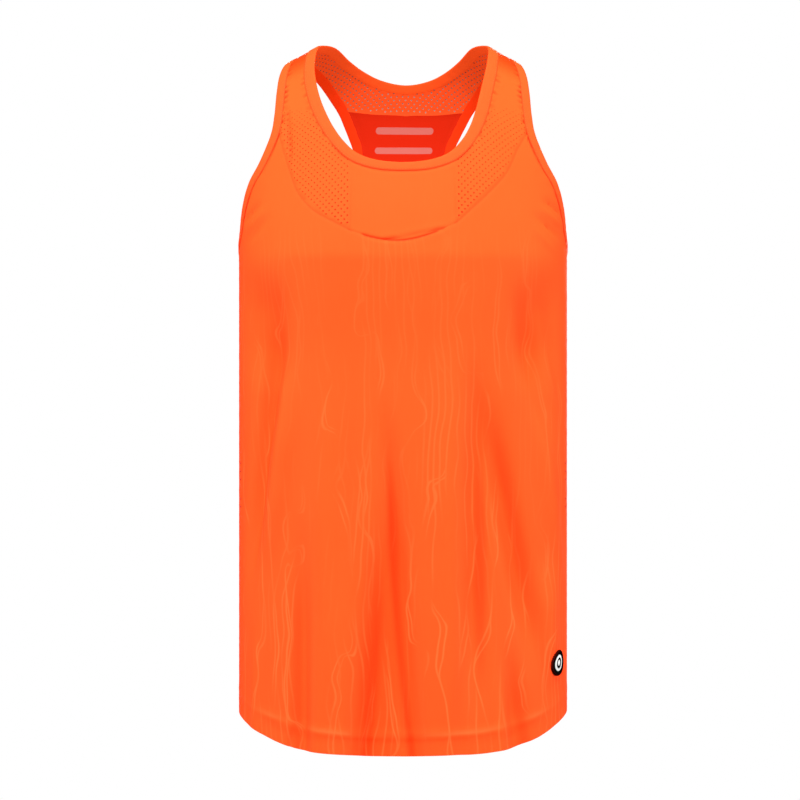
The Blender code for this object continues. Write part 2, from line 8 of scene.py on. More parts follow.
import bpy
import numpy as np
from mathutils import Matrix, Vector
from mathutils.geometry import delaunay_2d_cdt


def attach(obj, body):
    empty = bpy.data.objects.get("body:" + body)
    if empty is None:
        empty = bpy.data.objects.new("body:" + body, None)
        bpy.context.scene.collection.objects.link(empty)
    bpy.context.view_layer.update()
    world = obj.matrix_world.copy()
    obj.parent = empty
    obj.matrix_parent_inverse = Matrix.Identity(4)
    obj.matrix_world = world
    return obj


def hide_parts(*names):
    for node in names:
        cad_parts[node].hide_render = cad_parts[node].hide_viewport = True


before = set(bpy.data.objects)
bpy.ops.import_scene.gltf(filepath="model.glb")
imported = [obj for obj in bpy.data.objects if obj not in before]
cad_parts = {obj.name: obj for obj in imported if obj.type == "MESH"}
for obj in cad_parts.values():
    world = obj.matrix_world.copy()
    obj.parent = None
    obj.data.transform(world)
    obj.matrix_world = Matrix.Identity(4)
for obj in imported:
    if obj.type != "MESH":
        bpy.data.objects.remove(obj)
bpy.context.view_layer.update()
print("solids:", sorted(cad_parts))

# %% [markdown]
# ## The cut, and where the cloth hangs
#
# A maker measures a top along its cloth. So do the tables below: a point of the cloth has two
# coordinates, *across*, the way round from the centre line, and *down*, the way from the shoulder
# line, negative in front and positive behind. The pair is close to the flat paper pattern, which
# makes it a good UV map as well.

# %% Sizes of the form
HALF_WIDTH = 0.1559       # centre line to side seam, seen from the front
SQUARENESS = 2.4          # exponent of the level section: 2 is an ellipse
MEAN_DEPTH = 0.100
PANEL_WALL = 0.0010
BINDING_WALL = 0.0020
BADGE_RADIUS = 0.0123
BADGE_CENTRE = (0.1430, -0.5784)   # offset and height
BUST_LEVEL = -0.200
BLADE_LEVEL = -0.125
FRONT_ROUND = (2.0, 1.25)
BACK_ROUND = (2.0, 2.0)
FRONT_ARCH = (0.095, 0.205)
BACK_ARCH = (0.085, 0.140)
SHOULDER_TOP = 0.0082
SHOULDER_TOP_AT = 0.0746
SHOULDER_FALL = 0.60
SHOULDER_BLEND = 0.040
NECK_LEAN = -0.0033       # how far the neckline leans sideways in front
NECK_LEAN_BEHIND = 0.0026
NECK_LEAN_LEVEL = (-0.040, 0.040)   # height of the most lean, and its reach
NECK_LEAN_FADE = (0.088, 0.112)     # places across between which it dies out

# Depth of the centre line: height, depth
FRONT_DEPTH = (
    (-0.700, 0.1015),
    (-0.600, 0.1005),
    (-0.480, 0.0995),
    (-0.360, 0.1008),
    (-0.280, 0.1030),
    (-0.235, 0.1070),
    (-0.200, 0.1100),
)
BACK_DEPTH = (
    (-0.700, 0.0960),
    (-0.580, 0.0935),
    (-0.460, 0.0880),
    (-0.340, 0.0845),
    (-0.240, 0.0855),
    (-0.170, 0.0885),
    (-0.125, 0.0900),
)

# %% Edges and seams: offset, height, and the binding's width
NECK_FRONT = (
    (0.0000, -0.1128, 0.0072),
    (0.0305, -0.1089, 0.0078),
    (0.0430, -0.1033, 0.0084),
    (0.0551, -0.0913, 0.0092),
    (0.0637, -0.0775, 0.0100),
    (0.0703, -0.0616, 0.0108),
    (0.0768, -0.0394, 0.0110),
    (0.0815, -0.0122, 0.0105),
)
NECK_SHOULDER = (0.0785, 0.0100)
NECK_BACK = (
    (0.0650, 0.0068, 0.0092),
    (0.0527, -0.0032, 0.0088),
    (0.0387, -0.0126, 0.0084),
    (0.0238, -0.0193, 0.0080),
    (0.0000, -0.0234, 0.0080),
)
CHEST_CORNER = 2          # row of NECK_FRONT
ARM_SHOULDER = (0.1092, 0.0100)
ARM_FRONT = (
    (0.1134, -0.0151, 0.0102),
    (0.1169, -0.0247, 0.0105),
    (0.1194, -0.0440, 0.0105),
    (0.1208, -0.0640, 0.0105),
    (0.1234, -0.0815, 0.0105),
    (0.1290, -0.0970, 0.0105),
    (0.1358, -0.1118, 0.0105),
    (0.1446, -0.1276, 0.0105),
    (0.1493, -0.1417, 0.0105),
    (0.1522, -0.1565, 0.0102),
    (0.1543, -0.1750, 0.0098),
)
ARM_PIT = (-0.1860, 0.0095)
ARM_BACK = (
    (0.1456, -0.1810, 0.0092),
    (0.1224, -0.1716, 0.0090),
    (0.0886, -0.1549, 0.0090),
    (0.0642, -0.1347, 0.0090),
    (0.0514, -0.1148, 0.0090),
    (0.0484, -0.1001, 0.0090),
    (0.0503, -0.0855, 0.0090),
    (0.0542, -0.0759, 0.0090),
    (0.0592, -0.0650, 0.0090),
    (0.0645, -0.0540, 0.0090),
    (0.0740, -0.0400, 0.0092),
    (0.0840, -0.0265, 0.0094),
    (0.0969, -0.0150, 0.0097),
)
YOKE_END = 4              # row of ARM_FRONT
BACK_YOKE_END = 9         # row of ARM_BACK

# Yoke seams: offset, mean height, and how much higher the left side runs than the mean
YOKE_SEAM = (
    (0.1057, -0.1090, 0.0088),
    (0.0958, -0.1320, 0.0105),
    (0.0815, -0.1482, 0.0100),
    (0.0630, -0.1625, 0.0062),
)
CHEST_FOOT = (0.0490, -0.1728, 0.0036)
CHEST_SEAM = ((0.0270, -0.1812, 0.0022), (0.0000, -0.1858, 0.0))
BACK_YOKE_SEAM = ((0.0300, -0.0515), (0.0000, -0.0525))

# Bottom edge: offset, height
FRONT_HEM = (
    (0.0000, -0.6597),
    (0.0400, -0.6592),
    (0.0798, -0.6575),
    (0.1022, -0.6539),
    (0.1160, -0.6498),
    (0.1313, -0.6434),
    (0.1433, -0.6368),
    (0.1530, -0.6303),
)
BACK_HEM = (
    (0.0000, -0.6640),
    (0.0400, -0.6632),
    (0.0798, -0.6600),
    (0.1100, -0.6540),
    (0.1330, -0.6445),
    (0.1480, -0.6350),
    (0.1545, -0.6285),
)
HEM_AT_SIDE = -0.6270
HEM_TILT = 0.0008         # how much higher the wearer's left side of the hem hangs than the mean
HEM_TILT_FROM, HEM_TILT_GROWTH, HEM_TILT_END = 0.6, 0.2, 0.1   # shares of the way to the side
HEM_DROOP = 0.13          # how far the hem droops in a trough, as a share of the trough's depth

# %% Folds: offset and height of the top, the same of the foot, half width, rise
FRONT_FOLDS = (
    (-0.010, -0.380, -0.026, -0.900, 0.020, -0.0090),
    (-0.016, -0.400, -0.067, -1.000, 0.0105, -0.0125),
    (-0.020, -0.310, 0.038, -0.960, 0.008, -0.0080),
    (-0.019, -0.315, 0.002, -0.560, 0.009, -0.0038),
    (-0.092, -0.430, -0.094, -0.760, 0.009, -0.0085),
    (0.066, -0.270, 0.065, -0.660, 0.010, -0.0092),
    (0.067, -0.290, 0.134, -0.620, 0.013, -0.0105),
    (0.094, -0.545, 0.122, -0.760, 0.010, -0.0085),
    (0.105, -0.215, 0.141, -0.410, 0.012, -0.0062),
    (-0.114, -0.215, -0.147, -0.540, 0.011, -0.0090),
    (0.128, -0.203, 0.122, -0.330, 0.027, -0.0055),
    (-0.131, -0.203, -0.124, -0.330, 0.027, -0.0065),
    (-0.076, -0.260, -0.076, -0.760, 0.020, 0.0060),
    (-0.081, -0.530, -0.081, -0.900, 0.008, 0.0040),
    (0.042, -0.260, 0.044, -0.760, 0.019, 0.0060),
    (0.090, -0.540, 0.092, -0.800, 0.009, 0.0040),
    (0.119, -0.270, 0.150, -0.540, 0.013, 0.0050),
    (-0.106, -0.300, -0.126, -0.500, 0.013, 0.0050),
    (0.134, -0.475, 0.136, -0.610, 0.015, 0.0055),
)
BACK_FOLDS = (
    (-0.098, -0.230, -0.124, -0.520, 0.016, -0.0070),
    (0.104, -0.250, 0.130, -0.490, 0.015, -0.0066),
    (-0.030, -0.320, -0.052, -0.760, 0.016, -0.0085),
    (0.012, -0.360, 0.020, -0.760, 0.013, -0.0060),
    (0.062, -0.370, 0.092, -0.760, 0.017, -0.0080),
    (-0.068, -0.260, -0.086, -0.760, 0.021, 0.0056),
    (0.036, -0.280, 0.052, -0.760, 0.020, 0.0054),
    (-0.012, -0.420, -0.016, -0.760, 0.012, 0.0036),
)
# Smaller creases, which only the finished cloth has
FRONT_CREASES = (
    (-0.131, -0.146, -0.151, -0.168, 0.0036, -0.0022),   # under the right armhole
    (-0.126, -0.151, -0.148, -0.178, 0.0044, 0.0016),
    (-0.122, -0.158, -0.146, -0.190, 0.0040, -0.0013),
    (0.128, -0.143, 0.151, -0.160, 0.0036, -0.0024),     # under the left armhole
    (0.124, -0.150, 0.150, -0.171, 0.0044, 0.0018),
    (0.119, -0.157, 0.149, -0.184, 0.0042, -0.0022),
    (0.116, -0.168, 0.146, -0.198, 0.0044, 0.0010),
    (-0.112, -0.262, -0.125, -0.400, 0.0065, -0.0022),
    (0.133, -0.230, 0.151, -0.360, 0.0075, -0.0022),
    (-0.052, -0.330, -0.058, -0.560, 0.0090, -0.0016),
    (0.052, -0.560, 0.050, -0.720, 0.0070, -0.0016),
    (0.106, -0.600, 0.108, -0.740, 0.0060, 0.0016),
    (-0.136, -0.520, -0.140, -0.700, 0.0090, 0.0014),
    (-0.1045, -0.638, -0.1040, -0.668, 0.0016, -0.0012),    # a tuck at the hem
    (-0.1078, -0.062, -0.1050, -0.114, 0.0034, -0.0018),    # down the right yoke
)
BACK_CREASES = (
    (0.128, -0.200, 0.149, -0.232, 0.0060, -0.0020),
    (0.120, -0.190, 0.147, -0.218, 0.0045, 0.0014),
    (-0.126, -0.196, -0.149, -0.226, 0.0060, -0.0020),
    (-0.118, -0.188, -0.146, -0.214, 0.0045, 0.0014),
    (-0.006, -0.200, -0.010, -0.420, 0.0100, -0.0018),
    (0.084, -0.300, 0.078, -0.520, 0.0090, -0.0016),
    (-0.110, -0.420, -0.108, -0.620, 0.0100, 0.0018),
    (0.110, -0.540, 0.112, -0.700, 0.0080, 0.0018),
    (-0.062, -0.540, -0.066, -0.720, 0.0080, -0.0014),
    (0.036, -0.580, 0.038, -0.720, 0.0070, -0.0014),
)
FOLD_FADE = 0.40          # share of a fold's length in which it grows, and dies
SIDE_FADE = 0.020         # next to a side seam, where all folds die out
NORMAL_STEP = 0.0004
PAINTED_SHADE_DEPTH = 0.012      # depth of fold at which the painted shade is deepest
print("folds:", len(FRONT_FOLDS) + len(BACK_FOLDS), "creases:", len(FRONT_CREASES + BACK_CREASES))

# %% [markdown]
# ## Smooth curves through a few rows
#
# A curve is a short table. Between two rows it is a cubic whose slopes at the rows are shared with
# its neighbours, so that it has no corners.

# %% Curves
def smooth(places, values, at):
    """A smooth curve through rows: cubic pieces that share their slopes where they meet."""
    places, values = np.asarray(places, float), np.asarray(values, float)
    slopes = np.gradient(values, places, axis=0)
    at = np.clip(at, places[0], places[-1])
    i = np.clip(np.searchsorted(places, at) - 1, 0, len(places) - 2)
    span = places[i + 1] - places[i]
    u = (at - places[i]) / span
    if values.ndim > 1:
        span, u = span[..., None], u[..., None]
    return ((1 + 2 * u) * (1 - u) ** 2 * values[i] + u * (1 - u) ** 2 * span * slopes[i]
            + u * u * (3 - 2 * u) * values[i + 1] - u * u * (1 - u) * span * slopes[i + 1])


def of_table(table, at):
    """The second column of a table at values of its first."""
    rows = np.asarray(table, float)
    return smooth(rows[:, 0], rows[:, 1], at)


def ease(value):
    """0 to 1 with level ends: three squares less two cubes."""
    value = np.clip(value, 0, 1)
    return value * value * (3 - 2 * value)


def bell(distance, half_width):
    """1 at no distance, falling to 0 as a bell does."""
    return np.exp(-(distance / half_width) ** 2)


def lengths_along(points):
    """How far along a line each of its points lies."""
    steps = np.linalg.norm(np.diff(points, axis=0), axis=1)
    return np.concatenate([[0.0], np.cumsum(steps)])


def points_at(line, lengths):
    """Points of a chart line at these lengths along it."""
    own = lengths_along(line)
    return np.stack([np.interp(lengths, own, line[:, k]) for k in (0, 1)], -1)


def even_points(line, count):
    """The same line with count even steps."""
    return points_at(line, np.linspace(0, lengths_along(line)[-1], count + 1))


def joined(*lines):
    """One line from lines that each start where the one before ends."""
    return np.concatenate([lines[0]] + [line[1:] for line in lines[1:]])


def waves(place, length, slow_length, wander):
    """A sine along a place, whose wavelength itself wanders slowly."""
    return np.sin(2 * np.pi * place / length + wander * np.sin(2 * np.pi * place / slow_length))


# %% [markdown]
# ## The form under the cloth
#
# Level cuts through the form are superellipses, rounder than a box and squarer than an ellipse.
# Above the bust and the shoulder blades, the front and the back lean in to the shoulder line as two
# arches. These formulas are the solids' own, so that the shells lie where the solids do.

# %% The form
QUARTER = np.linspace(0, np.pi / 2, 1601)
SECTION_X = np.sin(QUARTER) ** (2 / SQUARENESS)
SECTION_Y = np.cos(QUARTER) ** (2 / SQUARENESS)
SECTION_LENGTH = lengths_along(np.stack([SECTION_X * HALF_WIDTH, SECTION_Y * MEAN_DEPTH], 1))
SIDE = SECTION_LENGTH[-1]   # the way round from the centre line to the side seam


def offset_of(across):
    """Sideways offset from the centre line of a place this far round the section."""
    return HALF_WIDTH * np.sign(across) * np.interp(np.abs(across), SECTION_LENGTH, SECTION_X)


def across_of(offset):
    """The way round the section to a sideways offset: the reverse of offset_of."""
    return np.sign(offset) * np.interp(np.abs(offset) / HALF_WIDTH, SECTION_X, SECTION_LENGTH)


def shoulder_height(offset):
    """Height of the shoulder line: a hyperbola, straight down at the sides and round at the neck."""
    top = np.hypot(SHOULDER_TOP_AT, SHOULDER_BLEND)
    return SHOULDER_TOP + SHOULDER_FALL * (top - np.hypot(offset, SHOULDER_BLEND))


class Sheet:
    """The front or the back of the form: upright below a level, and an arch above it."""

    def __init__(self, facing, level, depths, rounds, arch):
        self.facing, self.level, self.depths, self.rounds = facing, level, depths, rounds
        depth, height = arch
        self.depth_share = np.sin(QUARTER) ** (2 / rounds[0])
        self.height_share = np.cos(QUARTER) ** (2 / rounds[1])
        self.length = lengths_along(
            np.stack([self.depth_share * depth, self.height_share * height], 1))

    def height(self, offset, length):
        """Height of a point that lies this far below the shoulder line, along the cloth."""
        share = np.interp(length, self.length, self.height_share)
        arch = self.level + (shoulder_height(offset) - self.level) * share
        return np.where(length <= self.length[-1], arch, self.level - (length - self.length[-1]))

    def down(self, offset, height):
        """The coordinate down of a point at this offset and height: the reverse of height."""
        share = (height - self.level) / (shoulder_height(offset) - self.level)
        arch = np.interp(np.clip(share, 0, 1), self.height_share[::-1], self.length[::-1])
        length = np.where(share > 0, arch, self.length[-1] + self.level - height)
        return self.facing * length

    def y(self, across, offset, height):
        """Depth: the centre line's depth times the level section's, less the arch's lean."""
        share = (height - self.level) / (shoulder_height(offset) - self.level)
        share = np.clip(share, 0, 1) ** self.rounds[1]
        lean = (1 - share) ** (1 / self.rounds[0])
        level_section = np.interp(np.abs(across), SECTION_LENGTH, SECTION_Y)
        depth = of_table(self.depths, np.minimum(height, self.level))
        return self.facing * depth * level_section * lean

    def chart(self, offset, height):
        """across and down of a point of this sheet."""
        offset, height = np.asarray(offset, float), np.asarray(height, float)
        return np.stack([across_of(offset), self.down(offset, height)], -1)


FRONT = Sheet(-1, BUST_LEVEL, FRONT_DEPTH, FRONT_ROUND, FRONT_ARCH)
BACK = Sheet(1, BLADE_LEVEL, BACK_DEPTH, BACK_ROUND, BACK_ARCH)
print("once round:", round(4 * SIDE, 3), "m")


# %% [markdown]
# ## Folds
#
# Loose cloth hangs in folds. Each one here is a soft ridge or trough along a straight line, placed
# one by one: a bell across it, growing from its top and dying at its foot. A simulation would put them
# where it likes, and these have to be where the photograph shows them.

# %% Folds on the form
def folded(folds, across, height):
    """How far the folds raise the cloth: for each, its rise times a bell across times an ease along."""
    rise = np.zeros_like(across)
    for top, top_height, foot, foot_height, half_width, most in folds:
        share = (top_height - height) / (top_height - foot_height)
        line = across_of(top + (foot - top) * np.clip(share, 0, 1))
        grow = ease(share / FOLD_FADE) * ease((1 - share) / FOLD_FADE)
        rise += most * grow * bell(across - line, half_width)
    return rise * ease((SIDE - np.abs(across)) / SIDE_FADE)


def middle(across, down):
    """The cloth's middle surface and its folds' rise. Past the side seam it goes on round."""
    past = np.abs(across) > SIDE
    inside = np.where(past, np.sign(across) * (2 * SIDE - np.abs(across)), across)
    offset = offset_of(inside)
    in_front = down < 0
    height = np.where(in_front, FRONT.height(offset, -down), BACK.height(offset, down))
    seen_front = in_front ^ past
    y = np.where(seen_front, FRONT.y(inside, offset, height), BACK.y(inside, offset, height))
    rise = np.where(seen_front, folded(FRONT_FOLDS + FRONT_CREASES, inside, height),
                    folded(BACK_FOLDS + BACK_CREASES, inside, height))
    return np.stack([offset, y, height], -1), rise


def hollow(chart):
    """Painted shade of the folds: 1 where they sink the cloth by PAINTED_SHADE_DEPTH or more, 0 where
    they don't sink it.
    """
    return ease(-middle(chart[..., 0], chart[..., 1])[1] / PAINTED_SHADE_DEPTH)


def leaned(chart):
    """The chart with the neckline's small lean: it dies out downwards, and out to the armholes."""
    across, down = chart[..., 0], chart[..., 1]
    height = middle(across, down)[0][..., 2]
    level, reach = NECK_LEAN_LEVEL
    near, far = NECK_LEAN_FADE
    share = bell(height - level, reach) * ease((far - np.abs(across)) / (far - near))
    moved = chart.copy()
    moved[..., 0] += np.where(down < 0, NECK_LEAN, NECK_LEAN_BEHIND) * share * ease(np.abs(down) / reach)
    return moved


def cloth(chart):
    """Points of the middle surface, and the outward directions: the cross of its two slopes."""
    across, down = np.moveaxis(leaned(chart), -1, 0)
    point, rise = middle(across, down)
    ways = []
    for step in ((NORMAL_STEP, 0.0), (0.0, NORMAL_STEP)):
        ahead = middle(across + step[0], down + step[1])[0]
        behind = middle(across - step[0], down - step[1])[0]
        ways.append(ahead - behind)
    outward = np.cross(ways[0], ways[1])
    outward /= np.linalg.norm(outward, axis=-1, keepdims=True)
    return point + outward * rise[..., None], outward


# %% [markdown]
# ## Seams as curves in the chart
#
# A binding has a free edge and a seam, so each of its rows holds four numbers: both ends of a rib
# across it. The panels end 2 mm past the seam, inside the binding, as they do in a sewn one: no
# light comes through between them.

# %% Seam lines
TUCK = 0.0020             # how far a panel's edge goes into a binding
CLOSE_STEPS = np.array([0.0, 0.0006, 0.0014])   # distances from an edge, where a shell rolls in


def moved_aside(line, distance):
    """A chart line moved sideways by a distance, to its left."""
    way = np.gradient(line, axis=0)
    normal = np.stack([-way[:, 1], way[:, 0]], 1)
    return line + normal / np.linalg.norm(normal, axis=1, keepdims=True) * distance


def ribs(edge, width, towards):
    """Rows of four: an edge in the chart, and the seam beside it at the given width."""
    return np.concatenate([edge, moved_aside(edge, towards * width[:, None])], 1)


def mirrored(rows):
    """The same rows on the wearer's right, in the opposite order."""
    signs = np.where(np.arange(rows.shape[1]) % 2 == 0, -1.0, 1.0)
    return (rows * signs)[::-1]


def neck_ribs():
    """The neck edge and its seam, all round: from the centre back by the right shoulder."""
    front, back = np.array(NECK_FRONT), np.array(NECK_BACK)
    shoulder, shoulder_width = NECK_SHOULDER
    edge = np.concatenate([
        FRONT.chart(front[:, 0], front[:, 1]),
        [[across_of(shoulder), 0.0]],
        BACK.chart(back[:, 0], back[:, 1]),
    ])
    width = np.concatenate([front[:, 2], [shoulder_width], back[:, 2]])
    edge = np.concatenate([mirrored(edge)[:-1], edge, mirrored(edge)[1:]])
    width = np.concatenate([width[::-1][:-1], width, width[::-1][1:]])
    return ribs(edge, width, -1)


def arm_ribs():
    """The left armhole's front and back halves, and each one's rows at the shoulder and the pit.

    Both have a few rows of the other at their ends, so that their curves meet smoothly.
    """
    front, back = np.array(ARM_FRONT), np.array(ARM_BACK)
    pit, pit_width = ARM_PIT
    shoulder, shoulder_width = ARM_SHOULDER
    crossing = [[across_of(shoulder), 0.0]]
    spill = 2
    halves = []
    for sheet, own, other in ((FRONT, front, back[::-1]), (BACK, back[::-1], front)):
        other_sheet = BACK if sheet is FRONT else FRONT
        above = other_sheet.chart(other[:spill, 0], other[:spill, 1])[::-1]
        past = sheet.chart(other[-spill:, 0], other[-spill:, 1])[::-1]
        past[:, 0] = 2 * SIDE - past[:, 0]
        edge = np.concatenate([above, crossing, sheet.chart(own[:, 0], own[:, 1]),
                               [[SIDE, float(sheet.down(HALF_WIDTH, pit))]], past])
        width = np.concatenate([other[:spill, 2][::-1], [shoulder_width], own[:, 2],
                                [pit_width], other[-spill:, 2][::-1]])
        rows, at_pit = ribs(edge, width, sheet.facing), spill + 1 + len(own)
        rows[at_pit, 2:] = SIDE, float(sheet.down(HALF_WIDTH, pit - pit_width))
        halves.append((rows, spill, at_pit))
    return halves


def along(rows, spacing, start=0, end=-1, dense_end=False):
    """Rows on the smooth curve through rows, about spacing apart, and closer at a dense end."""
    halves = 0.5 * (rows[:, :2] + rows[:, -2:])
    places = lengths_along(halves)
    length = places[end] - places[start]
    steps = np.linspace(0, 1, max(2, int(round(length / spacing))) + 1)
    if dense_end:
        steps = np.concatenate([steps[:-1], 1 - CLOSE_STEPS[:0:-1] / length, [1.0]])
    return smooth(places, rows, places[start] + length * steps)


def paced(length, spacing):
    """Shares of a length from 0 to 1, evenly spaced, with a few close steps at both ends."""
    near = CLOSE_STEPS / length
    even = np.linspace(0, 1, int(round(length / spacing)) + 1)[1:-1]
    return np.concatenate([near, even, 1 - near[::-1]])


def across_binding(rows, share):
    """The line at a share of a binding's width, from the free edge at 0 to the seam at 1."""
    return rows[:, :2] + (rows[:, 2:] - rows[:, :2]) * share


def seam_side(rows):
    """The seam of a binding's rows."""
    return rows[:, 2:]


def tucked(rows):
    """The seam of a binding's rows, moved by TUCK towards the free edge."""
    way = rows[:, :2] - rows[:, 2:]
    return rows[:, 2:] + way * (TUCK / np.linalg.norm(way, axis=1, keepdims=True))


def on_side(chart, side):
    """A chart of the wearer's left, taken to the left, 1, or mirrored to the right, -1."""
    return chart * np.array([side, 1.0])


def both_sides(chart):
    """A chart line of the wearer's left, and its mirror image."""
    return [on_side(chart, side) for side in (1, -1)]


def yoke_points(table, side):
    """Chart points of a yoke seam's table on the wearer's left, 1, or right, -1."""
    offset, height, lift = np.array(table).reshape(-1, 3).T
    return FRONT.chart(side * offset, height + side * lift)


# %% Neck and armholes
LINE_STEP = 0.0025
neck = neck_ribs()
centre_row = len(NECK_FRONT) + len(NECK_BACK)
right_corner, left_corner = centre_row - CHEST_CORNER, centre_row + CHEST_CORNER
left_shoulder = centre_row + len(NECK_FRONT)
right_shoulder = centre_row - len(NECK_FRONT)
neck_right = along(neck, LINE_STEP, right_shoulder, right_corner)
neck_chest = along(neck, LINE_STEP, right_corner, left_corner)
neck_left = along(neck, LINE_STEP, left_corner, left_shoulder)
neck_back_left = along(neck, LINE_STEP, left_shoulder, left_shoulder + len(NECK_BACK))
neck_back = joined(neck_back_left, mirrored(neck_back_left))
neck_ring = joined(neck_right, neck_chest, neck_left, neck_back)[:-1]

(front_arm, f_top, f_pit), (back_arm, b_top, b_pit) = arm_ribs()
f_end, b_end = f_top + 1 + YOKE_END, b_pit - 1 - BACK_YOKE_END
arm_strap = along(front_arm, LINE_STEP, f_top, f_end)
arm_back_strap = along(back_arm, LINE_STEP, b_top, b_end)
front_half = joined(arm_strap, along(front_arm, LINE_STEP, f_end, f_pit))
back_half = joined(arm_back_strap, along(back_arm, LINE_STEP, b_end, b_pit))
print("neck binding:", round(lengths_along(neck_ring[:, :2])[-1], 3), "m of free edge")

# %% Yoke and side seams
PIT_HEIGHT = ARM_PIT[0] - ARM_PIT[1]
yoke_seams, chest_feet = {}, {}
for side in (1, -1):
    chest_feet[side] = yoke_points(CHEST_FOOT, side)
    start = on_side(tucked(arm_strap[-1:]), side)
    rows = np.concatenate([start, yoke_points(YOKE_SEAM, side), chest_feet[side]])
    yoke_seams[side] = along(rows, LINE_STEP)
rows = np.concatenate([
    chest_feet[-1], yoke_points(CHEST_SEAM, -1), yoke_points(CHEST_SEAM, 1)[::-1][1:], chest_feet[1],
])
chest_foot = along(rows, LINE_STEP)
seam = np.array(BACK_YOKE_SEAM)
rows = np.concatenate([tucked(arm_back_strap[-1:]), BACK.chart(seam[:, 0], seam[:, 1])])
half = along(rows, LINE_STEP)
back_yoke_seam = joined(half, mirrored(half))[::-1]


def hem_line(sheet, table, share):
    """The bottom edge, from the right side seam at share 0 to the left one at share 1."""
    across = SIDE * (2 * share - 1)
    offset = np.abs(offset_of(across))
    rows = np.array(table + ((HALF_WIDTH, HEM_AT_SIDE),))
    height = smooth(across_of(rows[:, 0]), rows[:, 1], np.abs(across))
    out = np.abs(across) / SIDE
    height += (HEM_TILT * np.sign(across) * ease((out - HEM_TILT_FROM) / HEM_TILT_GROWTH)
               * ease((1 - out) / HEM_TILT_END))
    height += HEM_DROOP * folded(FRONT_FOLDS if sheet is FRONT else BACK_FOLDS, across, height)
    return np.stack([across, sheet.down(offset, height)], -1)


def side_line(sheet, share):
    """The left side seam, from the hem at share 0 up into the armhole's binding at share 1."""
    height = HEM_AT_SIDE + (PIT_HEIGHT + TUCK - HEM_AT_SIDE) * share
    return np.stack([np.full(len(share), SIDE), sheet.down(HALF_WIDTH, height)], -1)


# %% [markdown]
# ## What sewing does to cloth
#
# A seam draws the cloth in. Next to it lies a shallow groove, then a soft ridge over the turned-in
# edges, and short puckers that fade away from it. All of it is a height added to the form, worked
# out from each point's distance to the seam, so both sides of a seam agree. The groove also gets a
# painted shade, deeper at some seams and creases than at others.

# %% Distance to a seam
def beside(line, chart):
    """Distance from each chart point to a line, and how far along the line it lies.

    For each of the line's segments: the foot of the perpendicular, kept within the segment. The
    nearest segment counts.
    """
    points = chart.reshape(-1, 1, 2)
    start, way = line[:-1], np.diff(line, axis=0)
    size = np.sum(way * way, axis=1)
    share = np.clip(np.sum((points - start) * way, axis=2) / size, 0, 1)
    away = np.linalg.norm(points - start - way * share[..., None], axis=2)
    nearest = np.argmin(away, axis=1)
    row = np.arange(len(points))
    place = lengths_along(line)[nearest] + share[row, nearest] * np.sqrt(size[nearest])
    shape = chart.shape[:-1]
    return away[row, nearest].reshape(shape), place.reshape(shape)


def thinned(line, gap=0.006):
    """The same line with a point about every gap, which is enough to measure from."""
    return even_points(line, max(2, int(lengths_along(line)[-1] / gap)))


# %% Grooves, ridges and puckers
side_front, side_back = (side_line(sheet, np.linspace(0, 1, 60)) for sheet in (FRONT, BACK))
neck_front = joined(neck_right, neck_chest, neck_left)
chest_side_left = np.stack([seam_side(neck_left)[0], chest_feet[1][0]])
chest_side_right = np.stack([seam_side(neck_right)[-1], chest_feet[-1][0]])
# The chest panel's foot has a painted shade in its middle part only.
chest_foot_middle = chest_foot[5:-8]
# A crease above the chest panel's foot, towards the wearer's left: offset, height
CHEST_CREASE = FRONT.chart(*np.array((
    (-0.0166, -0.1852), (-0.0074, -0.1838), (0.0065, -0.1813), (0.0138, -0.1796),
    (0.0249, -0.1772), (0.0369, -0.1749),
)).T)
# A crease down the right yoke, beside the armhole
YOKE_CREASE = FRONT.chart(*np.array((
    (-0.1078, -0.0600), (-0.1070, -0.0760), (-0.1056, -0.0920), (-0.1046, -0.1120),
)).T)
# How a seam shapes the cloth: rises of groove, ridge and pucker, and the painted shade in its groove
ARMHOLE_RELIEF = (0.00050, 0.00025, 0.00020, 1.00)
NECK_RELIEF = (0.00040, 0.00020, 0.00010, 0.60)
SIDE_RELIEF = (0.00040, 0.00015, 0.00022, 0.40)
YOKE_RELIEF = (0.00025, 0.00010, 0.00010, 0.28)
CHEST_SIDE_RELIEF = (0.00015, 0.00010, 0.00003, 0.10)
# Seams and creases of each side of the garment: lines, and their relief
FRONT_SEAMS = (
    (yoke_seams.values(), YOKE_RELIEF),
    ([chest_foot], (0.00020, 0.00005, 0.00010, 0.08)),
    ([chest_foot_middle], (0.00070, 0.00010, 0.00004, 0.80)),
    ([YOKE_CREASE], (0.00030, 0.00010, 0.00004, 0.55)),
    ([CHEST_CREASE], (0.00070, 0.00030, 0.00004, 0.60)),
    ([chest_side_left, chest_side_right], CHEST_SIDE_RELIEF),
    (both_sides(seam_side(front_half)), ARMHOLE_RELIEF),
    ([seam_side(neck_front)], NECK_RELIEF),
    (both_sides(side_front), SIDE_RELIEF),
)
BACK_SEAMS = (
    ([back_yoke_seam], (0.00045, 0.00030, 0.00012, 0.45)),
    (both_sides(seam_side(back_half)), ARMHOLE_RELIEF),
    ([seam_side(neck_back)], NECK_RELIEF),
    (both_sides(side_back), SIDE_RELIEF),
)
GROOVE_WIDTH = 0.0009
RIDGE_AT = 0.0032
RIDGE_WIDTH = 0.0018
PUCKER_REACH = 0.0065
PUCKER_WAVES = (0.0115, 0.061, 2.3)         # wavelength, that of its wandering, and the wandering
HEM_DEPTH = 0.0200        # of the turned-up hem
HEM_EXTRA = 0.0006        # the turned-up layer's wall
HEM_RIDGE = 0.0008        # where the turned-up edge presses through
HEM_RIDGE_WIDTH = 0.0028
HEM_WAVES = (0.0125, 0.083, 1.7)
HEM_RIDGE_WAVE = 0.00022  # how much the ridge rises and falls
HEM_WAVE = 0.00016        # the same of the band below it
HEM_PAINTED_HIGHLIGHT, HEM_PAINTED_SHADE = -0.9, 0.55            # painted highlight on the ridge, and painted shade on the band's upper part
HEM_SHOWN = 0.25          # how much of the ridge is left at the sides
